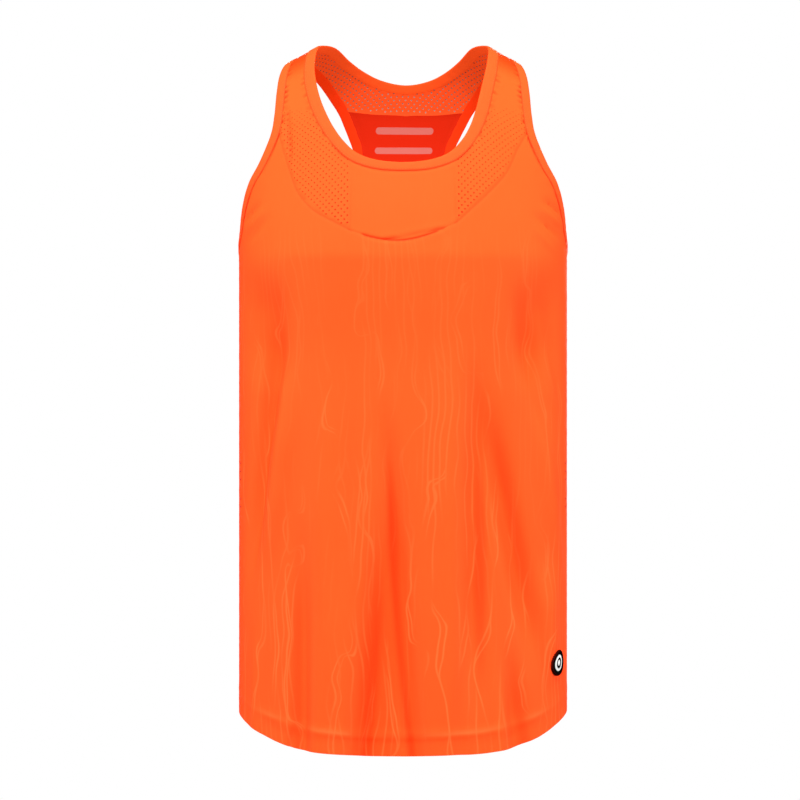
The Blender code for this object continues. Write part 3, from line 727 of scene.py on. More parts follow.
HEM_SHOWN_TO, HEM_SHOWN_FADE = 0.150, 0.03  # places across
HEM_EDGE, HEM_STEP = 0.0020, 0.0008         # softness of the band's upper edge, outside and inside


def sewn(chart, seams):
    """What the seams add to the outer surface, and each point's painted shade: that of a seam or crease
    in its groove.
    """
    rise = np.zeros(chart.shape[:-1])
    groove = np.zeros(chart.shape[:-1])
    for lines, (sink, ridge, pucker, tone) in seams:
        for line in lines:
            away, place = beside(thinned(line), chart)
            near = bell(away, GROOVE_WIDTH)
            rise += (ridge * bell(away - RIDGE_AT, RIDGE_WIDTH) - sink * near
                     + pucker * waves(place, *PUCKER_WAVES) * np.exp(-away / PUCKER_REACH))
            groove = np.maximum(groove, tone * near)
    return rise, groove


def hemmed(chart, hem):
    """The hem's rise outside, its extra wall inside, and its painted shade below the ridge and painted
    highlight on it.
    """
    above, place = beside(thinned(hem), chart)
    wave = waves(place, *HEM_WAVES)
    past = above - HEM_DEPTH
    towards_middle = ease((HEM_SHOWN_TO - np.abs(chart[..., 0])) / HEM_SHOWN_FADE)
    shown = HEM_SHOWN + (1 - HEM_SHOWN) * towards_middle
    outside = (HEM_WAVE * wave * ease(-past / HEM_EDGE) * bell(above - HEM_DEPTH / 2, HEM_DEPTH / 2)
               + (HEM_RIDGE + HEM_RIDGE_WAVE * wave) * shown * bell(past, HEM_RIDGE_WIDTH))
    tone = shown * (HEM_PAINTED_SHADE * bell(past + HEM_RIDGE_WIDTH * 1.6, HEM_RIDGE_WIDTH * 1.3)
                    + HEM_PAINTED_HIGHLIGHT * bell(past, HEM_RIDGE_WIDTH * 0.6))
    return outside, HEM_EXTRA * ease(-past / HEM_STEP), tone


# %% [markdown]
# ## Shells
#
# A panel is a grid of chart points inside four curves: a Coons patch, the sum of two blends between
# opposite sides less the blend of the corners. The grid gets an outer and an inner layer and a rim,
# which makes a closed shell. Its UV map is the chart itself, in metres, so that knit and print keep
# their real size.

# %% Patches
def shares(points):
    """How far along a line each point lies, from 0 to 1."""
    length = lengths_along(points)
    return length / length[-1]


def patch(bottom, top, left, right):
    """A grid inside four boundary curves: bottom and top run left to right, the sides upwards."""
    u = 0.5 * (shares(bottom) + shares(top))[None, :, None]
    w = 0.5 * (shares(left) + shares(right))[:, None, None]
    between_rows = (1 - w) * bottom[None] + w * top[None]
    between_columns = (1 - u) * left[:, None] + u * right[:, None]
    corners = ((1 - w) * ((1 - u) * bottom[0] + u * bottom[-1])
               + w * ((1 - u) * top[0] + u * top[-1]))
    return between_rows + between_columns - corners


def armed_patch(bottom, top, left, right, row, dip):
    """A patch whose sides turn in at a row, as at the underarms. The row there sags by dip."""
    share = shares(bottom)[:, None]
    waist = left[row] + (right[row] - left[row]) * share
    waist[:, 1] += dip * 4 * share[:, 0] * (1 - share[:, 0])
    below = patch(bottom, waist, left[:row + 1], right[:row + 1])
    above = patch(waist, top, left[row:], right[row:])
    return np.concatenate([below[:-1], above])


def cells(rows, columns, round_rows=False, round_columns=False):
    """Quads of a grid of points: each cell's four corners.

    Round rows end next to the first row, and round columns next to the first column.
    """
    index = np.arange(rows * columns).reshape(rows, columns)
    if round_rows:
        index = np.concatenate([index, index[:1]])
    if round_columns:
        index = np.concatenate([index, index[:, :1]], 1)
    corners = index[:-1, :-1], index[:-1, 1:], index[1:, 1:], index[1:, :-1]
    return np.stack([corner.ravel() for corner in corners], 1)


# %% Meshes
SHARP_ANGLE = 55


def in_scene(name, data):
    """A new object with this data, linked to the scene."""
    made = bpy.data.objects.new(name, data)
    bpy.context.scene.collection.objects.link(made)
    return made


def placed(name, points, faces):
    """A smooth mesh object in the scene."""
    mesh = bpy.data.meshes.new(name)
    mesh.from_pydata(np.asarray(points).tolist(), [], faces)
    mesh.shade_smooth()
    return in_scene(name, mesh)


def build_mesh(name, points, quads, chart, numbers):
    """An object with its UV map in metres and a point attribute for each named number.

    A quad that repeats its last corner is a triangle.
    """
    three = quads[:, 2] == quads[:, 3]
    faces = [quads[~three], quads[three, :3]]
    made = placed(name, points, [row for part in faces for row in part.tolist()])
    corner = np.concatenate([part.ravel() for part in faces])
    layer = made.data.uv_layers.new(name="cloth")
    layer.data.foreach_set("uv", chart[corner].astype(np.float32).ravel())
    for key, values in numbers.items():
        attribute = made.data.attributes.new(key, "FLOAT", "POINT")
        attribute.data.foreach_set("value", np.asarray(values, np.float32).ravel())
    made.data.set_sharp_from_angle(angle=np.radians(SHARP_ANGLE))
    return made


def triangles_as_quads(faces):
    """Triangles with their last corner repeated, as build_mesh takes them."""
    return np.concatenate([faces, faces[:, -1:]], 1)


def turned_over(quads):
    """Triangles as quads, facing the other way: the repeated corner stays last."""
    return quads[:, [2, 1, 0, 0]]


def face_inwards(faces, points, outward):
    """Whether the faces, taken together, face against a direction that each point has."""
    first = points[faces[:, 0]]
    normal = np.cross(points[faces[:, 1]] - first, points[faces[:, -1]] - first)
    return np.sum(normal * outward[faces[:, 0]]) < 0


def rim_of(faces):
    """The one-sided edges of a face list, each in its face's own direction."""
    edges = np.stack([faces, np.roll(faces, -1, axis=1)], -1).reshape(-1, 2)
    size = int(faces.max()) + 1
    forth, back = edges[:, 0] * size + edges[:, 1], edges[:, 1] * size + edges[:, 0]
    return edges[~np.isin(forth, back)]


def walls_under(edges, count, upper, lower):
    """Quads between two layers of count points, under edges that run as the upper layer's faces."""
    return np.stack([edges[:, 1] + upper * count, edges[:, 0] + upper * count,
                     edges[:, 0] + lower * count, edges[:, 1] + lower * count], 1)


def shell(name, chart, faces, point, outward, above, below, **numbers):
    """A closed shell: quads as an outer layer, the same turned over as an inner one, and rims.

    The outer layer lies above the middle surface, the inner one below it, along outward.
    """
    count = len(point)
    if face_inwards(faces, point, outward):
        faces = faces[:, ::-1]
    layers = np.concatenate([faces, faces[:, ::-1] + count, walls_under(rim_of(faces), count, 0, 1)])
    points = np.concatenate([point + outward * above[:, None], point - outward * below[:, None]])
    both = {key: np.tile(values, 2) for key, values in numbers.items()}
    both["outside"] = np.repeat([1.0, 0.0], count)
    return build_mesh(name, points, layers, np.tile(chart, (2, 1)), both)


def outline_area(line):
    """Area inside a closed line of the chart, by the shoelace formula."""
    ahead = np.roll(line, -1, axis=0)
    return 0.5 * abs(np.sum(line[:, 0] * ahead[:, 1] - line[:, 1] * ahead[:, 0]))


flat_cuts = {}


def note_cut(name, outline, size=None):
    width, length = np.ptp(outline, axis=0) if size is None else size
    flat_cuts[name] = (float(width), float(length), float(outline_area(outline)))


def grid_panel(name, grid, seams, hem=None):
    """A sewn panel from a grid of chart points, with its seams' relief and its hem."""
    rows, columns = grid.shape[:2]
    chart = grid.reshape(-1, 2)
    point, outward = cloth(chart)
    rise, groove = sewn(chart, seams)
    below = PANEL_WALL / 2 - 0.5 * rise
    # Painted shade of the folds, carried by the mesh
    depth = hollow(chart)
    if hem is not None:
        outside, extra, tone = hemmed(chart, hem)
        rise = rise + outside
        below = below + extra
        # The hem's painted shade below its ridge and painted highlight on it
        depth = depth + tone
    note_cut(name, joined(grid[0], grid[:, -1], grid[-1, ::-1], grid[::-1, 0])[:-1])
    return shell(name, chart, cells(rows, columns), point, outward, PANEL_WALL / 2 + rise, below,
                 seam=groove, hollow=depth)


# %% [markdown]
# ## Front and back
#
# The front's upper edge follows the armhole, the yoke, the chest panel and back again, so its
# columns fan out under them. The back narrows between the shoulder blades, so its rows run across
# and its sides turn in at the underarms.

# %% Front and back panels
BODY_STEP = 0.0034
BACK_ROW_DIP = 0.045
left_front = tucked(along(front_arm, BODY_STEP, f_end, f_pit, dense_end=True))
yoke_edges = {side: along(yoke_seams[side], BODY_STEP) for side in (1, -1)}
top = joined(on_side(left_front[::-1], -1), yoke_edges[-1], along(chest_foot, BODY_STEP),
             yoke_edges[1][::-1], left_front)
top[-1] = side_line(FRONT, np.ones(1))[0]
top[0] = on_side(top[-1], -1)
front_hem = hem_line(FRONT, FRONT_HEM, shares(top))
sides = side_line(FRONT, paced(PIT_HEIGHT - HEM_AT_SIDE, BODY_STEP))
front_grid = patch(front_hem, top, on_side(sides, -1), sides)
front_body = grid_panel("front_body_cloth", front_grid, FRONT_SEAMS, front_hem)

lower_side = side_line(BACK, paced(PIT_HEIGHT - HEM_AT_SIDE, BODY_STEP))
upper_side = tucked(along(back_arm, BODY_STEP, b_end, b_pit))[::-1]
sides = joined(lower_side, upper_side)
seam_top = along(back_yoke_seam, LINE_STEP / 2)
columns = paced(2 * SIDE, BODY_STEP)
top = points_at(seam_top, columns * lengths_along(seam_top)[-1])
back_hem = hem_line(BACK, BACK_HEM, columns)
back_grid = armed_patch(back_hem, top, on_side(sides, -1), sides, len(lower_side) - 1, BACK_ROW_DIP)
back_body = grid_panel("back_body_cloth", back_grid, BACK_SEAMS, back_hem)
print("front grid:", front_grid.shape[:2], "back grid:", back_grid.shape[:2])

# %% Chest panel
CHEST_STEP = 0.0022
count = int(round(lengths_along(chest_foot)[-1] / CHEST_STEP))
neck_edge = even_points(tucked(neck_chest), count)
foot_edge = even_points(chest_foot, count)
up = paced(float(np.linalg.norm(neck_edge[0] - foot_edge[0])), CHEST_STEP)[:, None]
chest_sides = [foot_edge[k] + (neck_edge[k] - foot_edge[k]) * up for k in (0, -1)]
chest_grid = patch(foot_edge, neck_edge, *chest_sides)
chest_panel = grid_panel("front_chest_cloth", chest_grid, FRONT_SEAMS)

# %% [markdown]
# ## Perforated yokes
#
# The yokes have holes of 1.5 mm on a staggered lattice. The piece's outline and the circles go to a
# constrained Delaunay triangulation in the chart. The triangles inside the circles sink to the
# middle of the cloth as a thin film, so each hole is a round pit. The film is coloured as painted
# shade, dark red in front and grey behind. In the back yoke the film lets a little light through.
# Near the edges and at the strap's plain end, the cloth stays whole.

# %% Lattice and triangulation
HOLE_RADIUS = 0.00078
HOLE_SIDES = 9
HOLE_PITCH = 0.0057       # along a row
ROW_PITCH = 0.00315       # from row to row, each shifted by half a pitch
HOLE_MARGIN = 0.0020      # least distance from a hole's centre to a seam
LEAST_HOLE = 0.45         # of the full radius: smaller ones are left out
FILM = 0.00016            # wall of the film that closes a hole
MILLIMETRES = 1000.0      # the triangulation works in these


def circle(sides):
    """Corners of a polygon on a circle of radius 1."""
    turn = np.linspace(0, 2 * np.pi, sides, endpoint=False)
    return np.stack([np.cos(turn), np.sin(turn)], 1)


def lattice(low, high):
    """Staggered points over a box of the chart: every other row is shifted by half a pitch."""
    rows = np.arange(np.floor(low[1] / ROW_PITCH), np.ceil(high[1] / ROW_PITCH) + 1)
    columns = np.arange(np.floor(low[0] / HOLE_PITCH) - 1, np.ceil(high[0] / HOLE_PITCH) + 1)
    x = columns[None, :] * HOLE_PITCH + (rows[:, None] % 2) * HOLE_PITCH / 2
    return np.stack([x, np.broadcast_to(rows[:, None] * ROW_PITCH, x.shape)], -1).reshape(-1, 2)


def within(outline, points):
    """Which points lie inside a closed line: those with an odd number of crossings to one side."""
    x, y = points[:, :1], points[:, 1:]
    (x0, y0), (x1, y1) = outline.T, np.roll(outline, -1, axis=0).T
    crosses = (y0 > y) != (y1 > y)
    rise = np.where(y1 == y0, 1.0, y1 - y0)
    return np.sum(crosses & (x < x0 + (y - y0) * (x1 - x0) / rise), axis=1) % 2 == 1


def perforated(outline, size_at):
    """Chart points and triangles of a pierced piece, and the triangles inside its holes.

    size_at gives each hole's share of the full radius.
    """
    spots = lattice(outline.min(0), outline.max(0))
    away, _ = beside(np.concatenate([outline, outline[:1]]), spots)
    spots, away = (part[within(outline, spots)] for part in (spots, away))
    size = size_at(spots)
    open_spot = (away > HOLE_MARGIN) & (size > LEAST_HOLE)
    rings = spots[open_spot][:, None] + circle(HOLE_SIDES) * HOLE_RADIUS * size[open_spot, None, None]
    plain = spots[~open_spot & (away > HOLE_MARGIN / 2)]
    points = np.concatenate([outline, rings.reshape(-1, 2), plain])
    edge = np.arange(len(outline))
    hole = len(outline) + np.arange(rings[..., 0].size).reshape(-1, HOLE_SIDES)
    edges = [np.stack([edge, np.roll(edge, -1)], 1),
             np.stack([hole, np.roll(hole, -1, axis=1)], -1).reshape(-1, 2)]
    owner = np.full(len(points), -1)
    owner[hole] = np.arange(len(rings))[:, None]
    corners = [Vector(spot) for spot in (points * MILLIMETRES).tolist()]
    found = delaunay_2d_cdt(corners, np.concatenate(edges).tolist(), [], 1, 1e-5)
    triangles = np.array(found[2])
    chart = np.array([tuple(spot) for spot in found[0]]) / MILLIMETRES
    source = np.array([ids[0] for ids in found[3]])
    ring = owner[source][triangles]
    in_hole = (ring[:, 0] >= 0) & (ring[:, 0] == ring[:, 1]) & (ring[:, 1] == ring[:, 2])
    print("holes:", len(rings), "triangles a layer:", len(triangles))
    return chart, triangles[~in_hole], triangles[in_hole]


def pierced_panel(name, outline, seams, size_at, hole_shade_at, size=None):
    """A sewn panel whose holes end at a thin film: four layers, the two in the middle only in holes.

    Layers from the outside in: face, outer floor of the holes, inner floor, and back.
    """
    chart, faces, floors = perforated(outline, size_at)
    point, outward = cloth(chart)
    rise, groove = sewn(chart, seams)
    note_cut(name, outline, size)
    count = len(chart)
    tone = hole_shade_at(chart)
    if face_inwards(faces, point, outward):
        faces, floors = faces[:, ::-1], floors[:, ::-1]
    rim = rim_of(faces)
    round_hole = np.isin(rim, floors).all(axis=1)
    film = np.full(count, FILM / 2)
    levels = np.stack([PANEL_WALL / 2 + rise, -film, -3 * film, -PANEL_WALL / 2 + 0.5 * rise])
    faces, floors = triangles_as_quads(faces), triangles_as_quads(floors)
    quads = np.concatenate([
        faces, floors + count, turned_over(floors) + 2 * count, turned_over(faces) + 3 * count,
        walls_under(rim[round_hole], count, 0, 1), walls_under(rim[round_hole], count, 2, 3),
        walls_under(rim[~round_hole], count, 0, 3),
    ])
    points = (point + outward * levels[..., None]).reshape(-1, 3)
    used, quads = np.unique(quads, return_inverse=True)
    # hole: how much painted shade colours each hole's film
    numbers = {"outside": np.repeat([1.0, 1.0, 0.0, 0.0], count)[used],
               "hole": np.concatenate([0 * tone, tone, tone, 0 * tone])[used],
               "seam": np.tile(groove, 4)[used]}
    return build_mesh(name, points[used], quads.reshape(-1, 4), np.tile(chart, (4, 1))[used], numbers)


# %% The three pierced pieces
EDGE_STEP = 0.0018
FOOT_REACH = 0.042        # how far from a yoke's foot the mesh is stretched less
PLAIN_ABOVE = -0.028      # height above which the front of a strap has no holes
HOLE_GROWTH = 0.06        # height in which the holes grow to their size, below that
SMALL_HOLE, FAINT_HOLE_SHADE = 0.80, 0.62         # size of holes, and their painted shade, away from the foot


def traced(*lines):
    """One closed outline from lines that follow each other, with an even step."""
    counts = [max(1, int(round(lengths_along(line)[-1] / EDGE_STEP))) for line in lines]
    return np.concatenate([even_points(line, count)[:-1] for line, count in zip(lines, counts)])


def foot_near(spots, least):
    """1 at the feet of the front yokes, falling to least higher up."""
    away = [np.linalg.norm(spots - foot, axis=-1) for foot in chest_feet.values()]
    return least + (1 - least) * bell(np.minimum(*away), FOOT_REACH)


def front_size(spots):
    """Hole sizes in front: none at the strap's plain end, full ones at the yoke's foot."""
    height = FRONT.height(offset_of(spots[:, 0]), -spots[:, 1])
    return ease((PLAIN_ABOVE - height) / HOLE_GROWTH) * foot_near(spots, SMALL_HOLE)


def front_hole_shade(spots):
    """Painted shade of the holes in front: darkest at the yoke's foot."""
    return foot_near(spots, FAINT_HOLE_SHADE)


def full(spots):
    """Every hole at its full size and full painted shade."""
    return np.ones(len(spots))


front_meshes = {}
for side, name in ((1, "front_mesh_left_cloth"), (-1, "front_mesh_right_cloth")):
    neck_side = tucked(neck_left)[::-1] if side > 0 else tucked(neck_right)
    arm_side = on_side(tucked(arm_strap), side)
    foot = chest_feet[side]
    outline = traced(np.concatenate([neck_side[-1:], foot]), yoke_seams[side][::-1], arm_side[::-1],
                     np.stack([arm_side[0], neck_side[0]]), neck_side)
    front_meshes[side] = pierced_panel(name, outline, FRONT_SEAMS, front_size, front_hole_shade)

strap = tucked(arm_back_strap)
neck_line = tucked(neck_back)
outline = traced(back_yoke_seam, strap[::-1], np.stack([strap[0], neck_line[0]]), neck_line,
                 np.stack([neck_line[-1], on_side(strap[0], -1)]), on_side(strap, -1))
# The back yoke is a band bent round the neck, so its cut is measured along the bend and across it.
inner = lengths_along(neck_line)[-1]
outer = lengths_along(back_yoke_seam)[-1] + 2 * lengths_along(strap)[-1]
across, _ = beside(neck_line, outline)
band = (inner + outer) / 2, np.abs(across).max()
back_yoke = pierced_panel("back_mesh_yoke_cloth", outline, BACK_SEAMS, full, full, band)

# %% [markdown]
# ## Bindings
#
# A binding is a strip folded over the raw edge. Its cross-section is a flat loop that is round at
# the free edge and thins a little where it is sewn down. The section is carried round the opening,
# and slight waves along it keep it from looking like moulded rubber.

# %% A binding's section, carried round
BINDING_POINTS = 13
ROUND_SHARE = 0.16        # share of the width in which the free edge is round
CROWN, SEWN_DOWN = 0.10, 0.30               # shares of the wall, at the middle and at the seam
SEWN_SHARE = 0.10         # share of the width in which the wall thins
BINDING_PUCKER = 0.00016
BINDING_WAVES = (0.0105, 0.047, 2.1)
WAVED_SHARE = 1 / 1.15    # share of the width with waves: they end before the seam
SEAM_SHARE = 0.09         # share of the width over which the seam's painted shade fades
LEAST_WIDTH = 0.010       # a binding's flat width is stated as no less


def section(points):
    """Half of a binding's section: shares of the width from the free edge, and half thicknesses.

    The free edge is a quarter of a superellipse, the rest is a low crown, and the sewn edge thins.
    """
    turn = np.linspace(0, np.pi / 2, points // 2 + 1)
    share = np.concatenate([
        ROUND_SHARE * (1 - np.cos(turn)), np.linspace(ROUND_SHARE, 1, points - points // 2)[1:],
    ])
    round_part = np.sqrt(np.clip(1 - (1 - np.minimum(share / ROUND_SHARE, 1)) ** 2, 0, 1))
    crown = 1 + CROWN * np.sin(np.pi * share)
    sewn_down = 1 - SEWN_DOWN * bell(share - 1, SEWN_SHARE)
    return share, BINDING_WALL / 2 * round_part * crown * sewn_down


def there_and_back(values):
    """Values over the outer half of the section, then over the inner half, back to the seam's side."""
    return np.concatenate([values, values[..., :0:-1]], -1)


def binding(name, rows):
    """A closed ring: the section's outer half, then its inner half, along the rows."""
    share, half = section(BINDING_POINTS)
    edge, seam = rows[:, None, :2], rows[:, None, 2:]
    chart = edge + (seam - edge) * share[None, :, None]
    point, outward = cloth(chart)
    place = lengths_along(point.mean(1))[:, None]
    waved = np.sin(np.pi * np.clip(share / WAVED_SHARE, 0, 1))
    bulge = BINDING_PUCKER * waves(place, *BINDING_WAVES) * waved
    outer = point + outward * (half + bulge)[..., None]
    inner = point - outward * (half - bulge)[..., None]
    loop = np.concatenate([outer, inner[:, :0:-1]], 1)
    points = loop.reshape(-1, 3)
    faces = cells(*loop.shape[:2], round_rows=True, round_columns=True)
    if face_inwards(faces, points, (loop - loop.mean(1, keepdims=True)).reshape(-1, 3)):
        faces = faces[:, ::-1]
    width = np.linalg.norm(seam - edge, axis=-1)
    uv = np.stack(np.broadcast_arrays(place, width * there_and_back(share)), -1)
    outside = np.repeat([1.0, 0.0], [len(share), len(share) - 1])
    # Painted shade along the binding's sewn edge
    seam_painted_shade = bell(there_and_back(share) - 1, SEAM_SHARE)
    numbers = {"outside": np.tile(outside, len(rows)), "seam": np.tile(seam_painted_shade, len(rows))}
    length, mean_width = float(place[-1, 0]), float(width.mean())
    flat_cuts[name] = (length, max(LEAST_WIDTH, mean_width), length * mean_width)
    return build_mesh(name, points, faces, uv.reshape(-1, 2), numbers)


neck_binding = binding("neck_binding_cloth", neck_ring)
arm_ring = np.concatenate([front_half[:-1], back_half[:0:-1]])
arm_bindings = {}
for side, name in ((1, "armhole_binding_left_cloth"), (-1, "armhole_binding_right_cloth")):
    arm_bindings[side] = binding(name, arm_ring * np.array([side, 1.0, side, 1.0]))

# %% [markdown]
# ## Badge
#
# The badge is a thin rubber button: a turned profile with a raised rim and a low ring and dot. The
# pale ring and dot themselves are colour. The profile rides on the curved cloth, since rubber this
# thin bends with it.

# %% Badge
BADGE_SIDES = 72
BADGE_FLOOR = 0.0009      # from the cloth's middle to the badge's back, as in the solids
# Turned profile from the middle outwards: share of the radius, height above the back
BADGE_PROFILE = (
    (0.10, 0.00135), (0.155, 0.00135), (0.175, 0.00112), (0.30, 0.00112), (0.315, 0.00135),
    (0.44, 0.00135), (0.455, 0.00112), (0.70, 0.00112), (0.74, 0.00150), (0.80, 0.00160),
    (0.90, 0.00160), (0.965, 0.00145), (0.995, 0.00105), (1.00, 0.00060), (0.985, 0.00015),
    (0.96, 0.00000), (0.50, 0.00000),
)
profile = np.array(BADGE_PROFILE)
badge_centre = FRONT.chart(*BADGE_CENTRE)
local = profile[:, :1, None] * circle(BADGE_SIDES) * BADGE_RADIUS
point, outward = cloth(badge_centre + local)
rings = point + outward * (BADGE_FLOOR + profile[:, 1])[:, None, None]
middle_point, middle_way = cloth(badge_centre)
poles = [middle_point + middle_way * (BADGE_FLOOR + height) for height in (profile[0, 1], 0.0)]
points = np.concatenate([rings.reshape(-1, 3), poles])
faces = [cells(len(profile), BADGE_SIDES, round_columns=True)[:, ::-1]]
around = np.arange(BADGE_SIDES)
for first, pole, step in ((0, -2, 1), (rings[..., 0].size - BADGE_SIDES, -1, -1)):
    fan = [np.full(BADGE_SIDES, len(points) + pole), first + around, first + np.roll(around, -step)]
    faces.append(triangles_as_quads(np.stack(fan, 1)))
uv = np.concatenate([local.reshape(-1, 2), np.zeros((2, 2))])
badge = build_mesh("badge_rubber", points, np.concatenate(faces), uv, {})

# %% [markdown]
# ## Stitches
#
# A stitch is a short thread that dips into the cloth at both ends. All stitches of a kind are one
# mesh. They are worked out a line at a time: places along the line, a few stations on each stitch,
# and a small ring of points round each station.

# %% Stitches
THREAD_RADIUS = 0.00019
THREAD_ENDS = 0.45        # share of the radius at a stitch's ends
THREAD_DIP, THREAD_RISE = 1.0, 1.5          # of a stitch's ends and its middle, in radii
STITCH_STATIONS = 4
STITCH_SIDES = 5
STITCH_AT = 0.84          # share of a binding's width, from the free edge
BINDING_STITCH = (0.0026, 0.0005)           # pitch, and gap between two stitches
HEM_STITCH = (0.0028, 0.0006)
HEM_ROWS = (0.0, 0.0024)  # from the turned-up layer's edge


def stitches(name, lines, pitch, gap, height):
    """Threads along chart lines, at a height over the cloth's middle.

    Each ring of points lies round its station, in the plane of the outward direction and the
    sideways one. The radius and the rise follow a sine along the stitch.
    """
    share = np.linspace(0, 1, STITCH_STATIONS)
    arch = np.sin(np.pi * share)
    lift = height + THREAD_RADIUS * (THREAD_RISE * arch - THREAD_DIP)
    radius = THREAD_RADIUS * (THREAD_ENDS + (1 - THREAD_ENDS) * arch)
    up, aside = circle(STITCH_SIDES).T[..., None]
    bodies = []
    for line in lines:
        starts = np.arange(pitch / 2, lengths_along(line)[-1] - pitch, pitch)
        point, outward = cloth(points_at(line, starts[:, None] + (pitch - gap) * share))
        spine = point + outward * lift[:, None]
        sideways = np.cross(np.gradient(spine, axis=1), outward)
        sideways /= np.linalg.norm(sideways, axis=-1, keepdims=True)
        ring = outward[:, :, None] * up + sideways[:, :, None] * aside
        bodies.append(spine[:, :, None] + ring * radius[:, None, None])
    body = np.concatenate(bodies)
    count, size = len(body), STITCH_STATIONS * STITCH_SIDES
    first = size * np.arange(count)[:, None]
    quads = (cells(STITCH_STATIONS, STITCH_SIDES, round_columns=True) + first[:, None]).reshape(-1, 4)
    end = np.arange(STITCH_SIDES)
    caps = np.concatenate([end[::-1] + first, end + size - STITCH_SIDES + first])
    points = body.reshape(-1, 3)
    if face_inwards(quads, points, (body - body.mean((1, 2), keepdims=True)).reshape(-1, 3)):
        quads, caps = quads[:, ::-1], caps[:, ::-1]
    print(name, "stitches:", count)
    return placed(name, points, quads.tolist() + caps.tolist())


binding_top = BINDING_WALL / 2 * 0.98       # a little inside its surface
neck_thread = stitches("neck_stitches", [across_binding(neck_ring, STITCH_AT)], *BINDING_STITCH,
                       binding_top)
arm_lines = [line for half in (front_half, back_half[::-1])
             for line in both_sides(across_binding(half, STITCH_AT))]
arm_thread = stitches("armhole_stitches", arm_lines, *BINDING_STITCH, binding_top)
hem_lines = [moved_aside(hem, facing * (HEM_DEPTH - shift))
             for hem, facing in ((front_hem, 1), (back_hem, -1)) for shift in HEM_ROWS]
hem_thread = stitches("hem_stitches", hem_lines, *HEM_STITCH, PANEL_WALL / 2 - 0.0002)

# %% [markdown]
# ## Materials as Python expressions
#
# A small class wraps a socket, so that `mask * 0.5 + 1` adds its Math nodes by itself. One method
# makes every other node.

# %% Shader maths
def maths(operation, swap=False):
    """A method that adds a Math node. Its values are the signal and the others, or the reverse."""
    def method(self, *others):
        values = [self, *others][::-1 if swap else 1]
        return self.shader.node("ShaderNodeMath", {"operation": operation}, dict(enumerate(values)))
    return method


class Signal:
    """A number or a colour that varies over a surface. Python's operators add Math nodes to it."""

    def __init__(self, shader, socket):
        self.shader, self.socket = shader, socket

    __add__ = __radd__ = maths("ADD")
    __sub__ = maths("SUBTRACT")
    __rsub__ = maths("SUBTRACT", swap=True)
    __mul__ = __rmul__ = maths("MULTIPLY")
    __truediv__ = maths("DIVIDE")
    __abs__ = maths("ABSOLUTE")
    sine = maths("SINE")
    fraction = maths("FRACT")
    root = maths("SQRT")
    at_least = maths("MAXIMUM")
    at_most = maths("MINIMUM")

    def eased(self, low, high):
        """0 below low and 1 above high, with a smooth step between."""
        return self.shader.node("ShaderNodeMapRange", {"interpolation_type": "SMOOTHSTEP"},
                                {"Value": self, "From Min": low, "From Max": high})


class Shader:
    """One material and its nodes."""

    def __init__(self, name, **constants):
        self.material = bpy.data.materials.new(name)
        self.material.use_nodes = True
        self.tree = self.material.node_tree
        self.surface = self.tree.nodes["Principled BSDF"]
        for key, value in constants.items():
            self.surface.inputs[key.replace("_", " ")].default_value = value

    def node(self, kind, settings=None, values=None, output=0):
        """A node: its settings first, then numbers or links for its inputs, and one of its outputs."""
        made = self.tree.nodes.new(kind)
        for key, value in (settings or {}).items():
            setattr(made, key, value)
        for key, value in (values or {}).items():
            if isinstance(value, Signal):
                self.tree.links.new(value.socket, made.inputs[key])
            else:
                made.inputs[key].default_value = value
        return Signal(self, made.outputs[output])

    def feed(self, name, signal):
        """Links a signal to an input of the surface."""
        self.tree.links.new(signal.socket, self.surface.inputs[name])

    def number(self, name):
        """A point attribute of the mesh, as a number."""
        return self.node("ShaderNodeAttribute", {"attribute_name": name}, output="Fac")

    def split(self, vector):
        """The three numbers of a vector."""
        values = {"Vector": vector}
        return [self.node("ShaderNodeSeparateXYZ", None, values, axis) for axis in (0, 1, 2)]

    def place(self):
        """The two coordinates of the piece's own UV map, in metres."""
        return self.split(self.node("ShaderNodeUVMap", {"uv_map": "cloth"}))[:2]

    def noise(self, x, y, rates, z=0.0, detail=1.0):
        """Soft noise from 0 to 1, with rates features in a unit of x and y. Another z, another noise."""
        place = {"X": x * rates[0], "Y": y * rates[1], "Z": z}
        where = self.node("ShaderNodeCombineXYZ", None, place)
        return self.node("ShaderNodeTexNoise", None, {
            "Vector": where, "Scale": 1.0, "Detail": detail, "Roughness": 0.5})

    def mix(self, share, one, two):
        """One colour at share 0 and the other at share 1."""
        inputs = {"Factor": share, 6: one, 7: two}
        return self.node("ShaderNodeMix", {"data_type": "RGBA"}, inputs, output=2)

    def bump(self, height):
        """A normal from a height in metres."""
        values = {"Strength": 1.0, "Distance": 1.0, "Height": height}
        self.feed("Normal", self.node("ShaderNodeBump", None, values))

    def dyed(self, colour, height, outside, painted_glow):
        """Links a cloth's colour and relief, and the painted glow of its inner side: an emission that
        stands in for light coming through. Gives the material.
        """
        self.feed("Base Color", colour)
        self.feed("Emission Color", self.mix(outside, painted_glow, BLACK))
        self.bump(height)
        return self.material


# %% [markdown]
# ## Orange jersey
#
# The cloth is a fluorescent orange polyester knit. Its wales run down the body, about half a
# millimetre wide, so they show as a soft grain. On the body, a tonal print of wandering upright
# lines is a shade lighter than the ground, like the grain of wood. A count grows across the cloth
# and stretched noise bends it: a line runs wherever it is a whole number. The count's own slope
# keeps the lines equally wide.

# %% Colours and sizes of the cloth
ORANGE = (0.98, 0.063, 0.0090, 1)
ORANGE_DEEP = (0.95, 0.051, 0.0060, 1)
# Lighter orange of the print and streaks, also a painted highlight on the hem's ridge
ORANGE_LIGHT = (1.0, 0.088, 0.0180, 1)
# Painted shade of deep folds and of the hem's band
ORANGE_PAINTED_SHADE = (0.93, 0.034, 0.0016, 1)
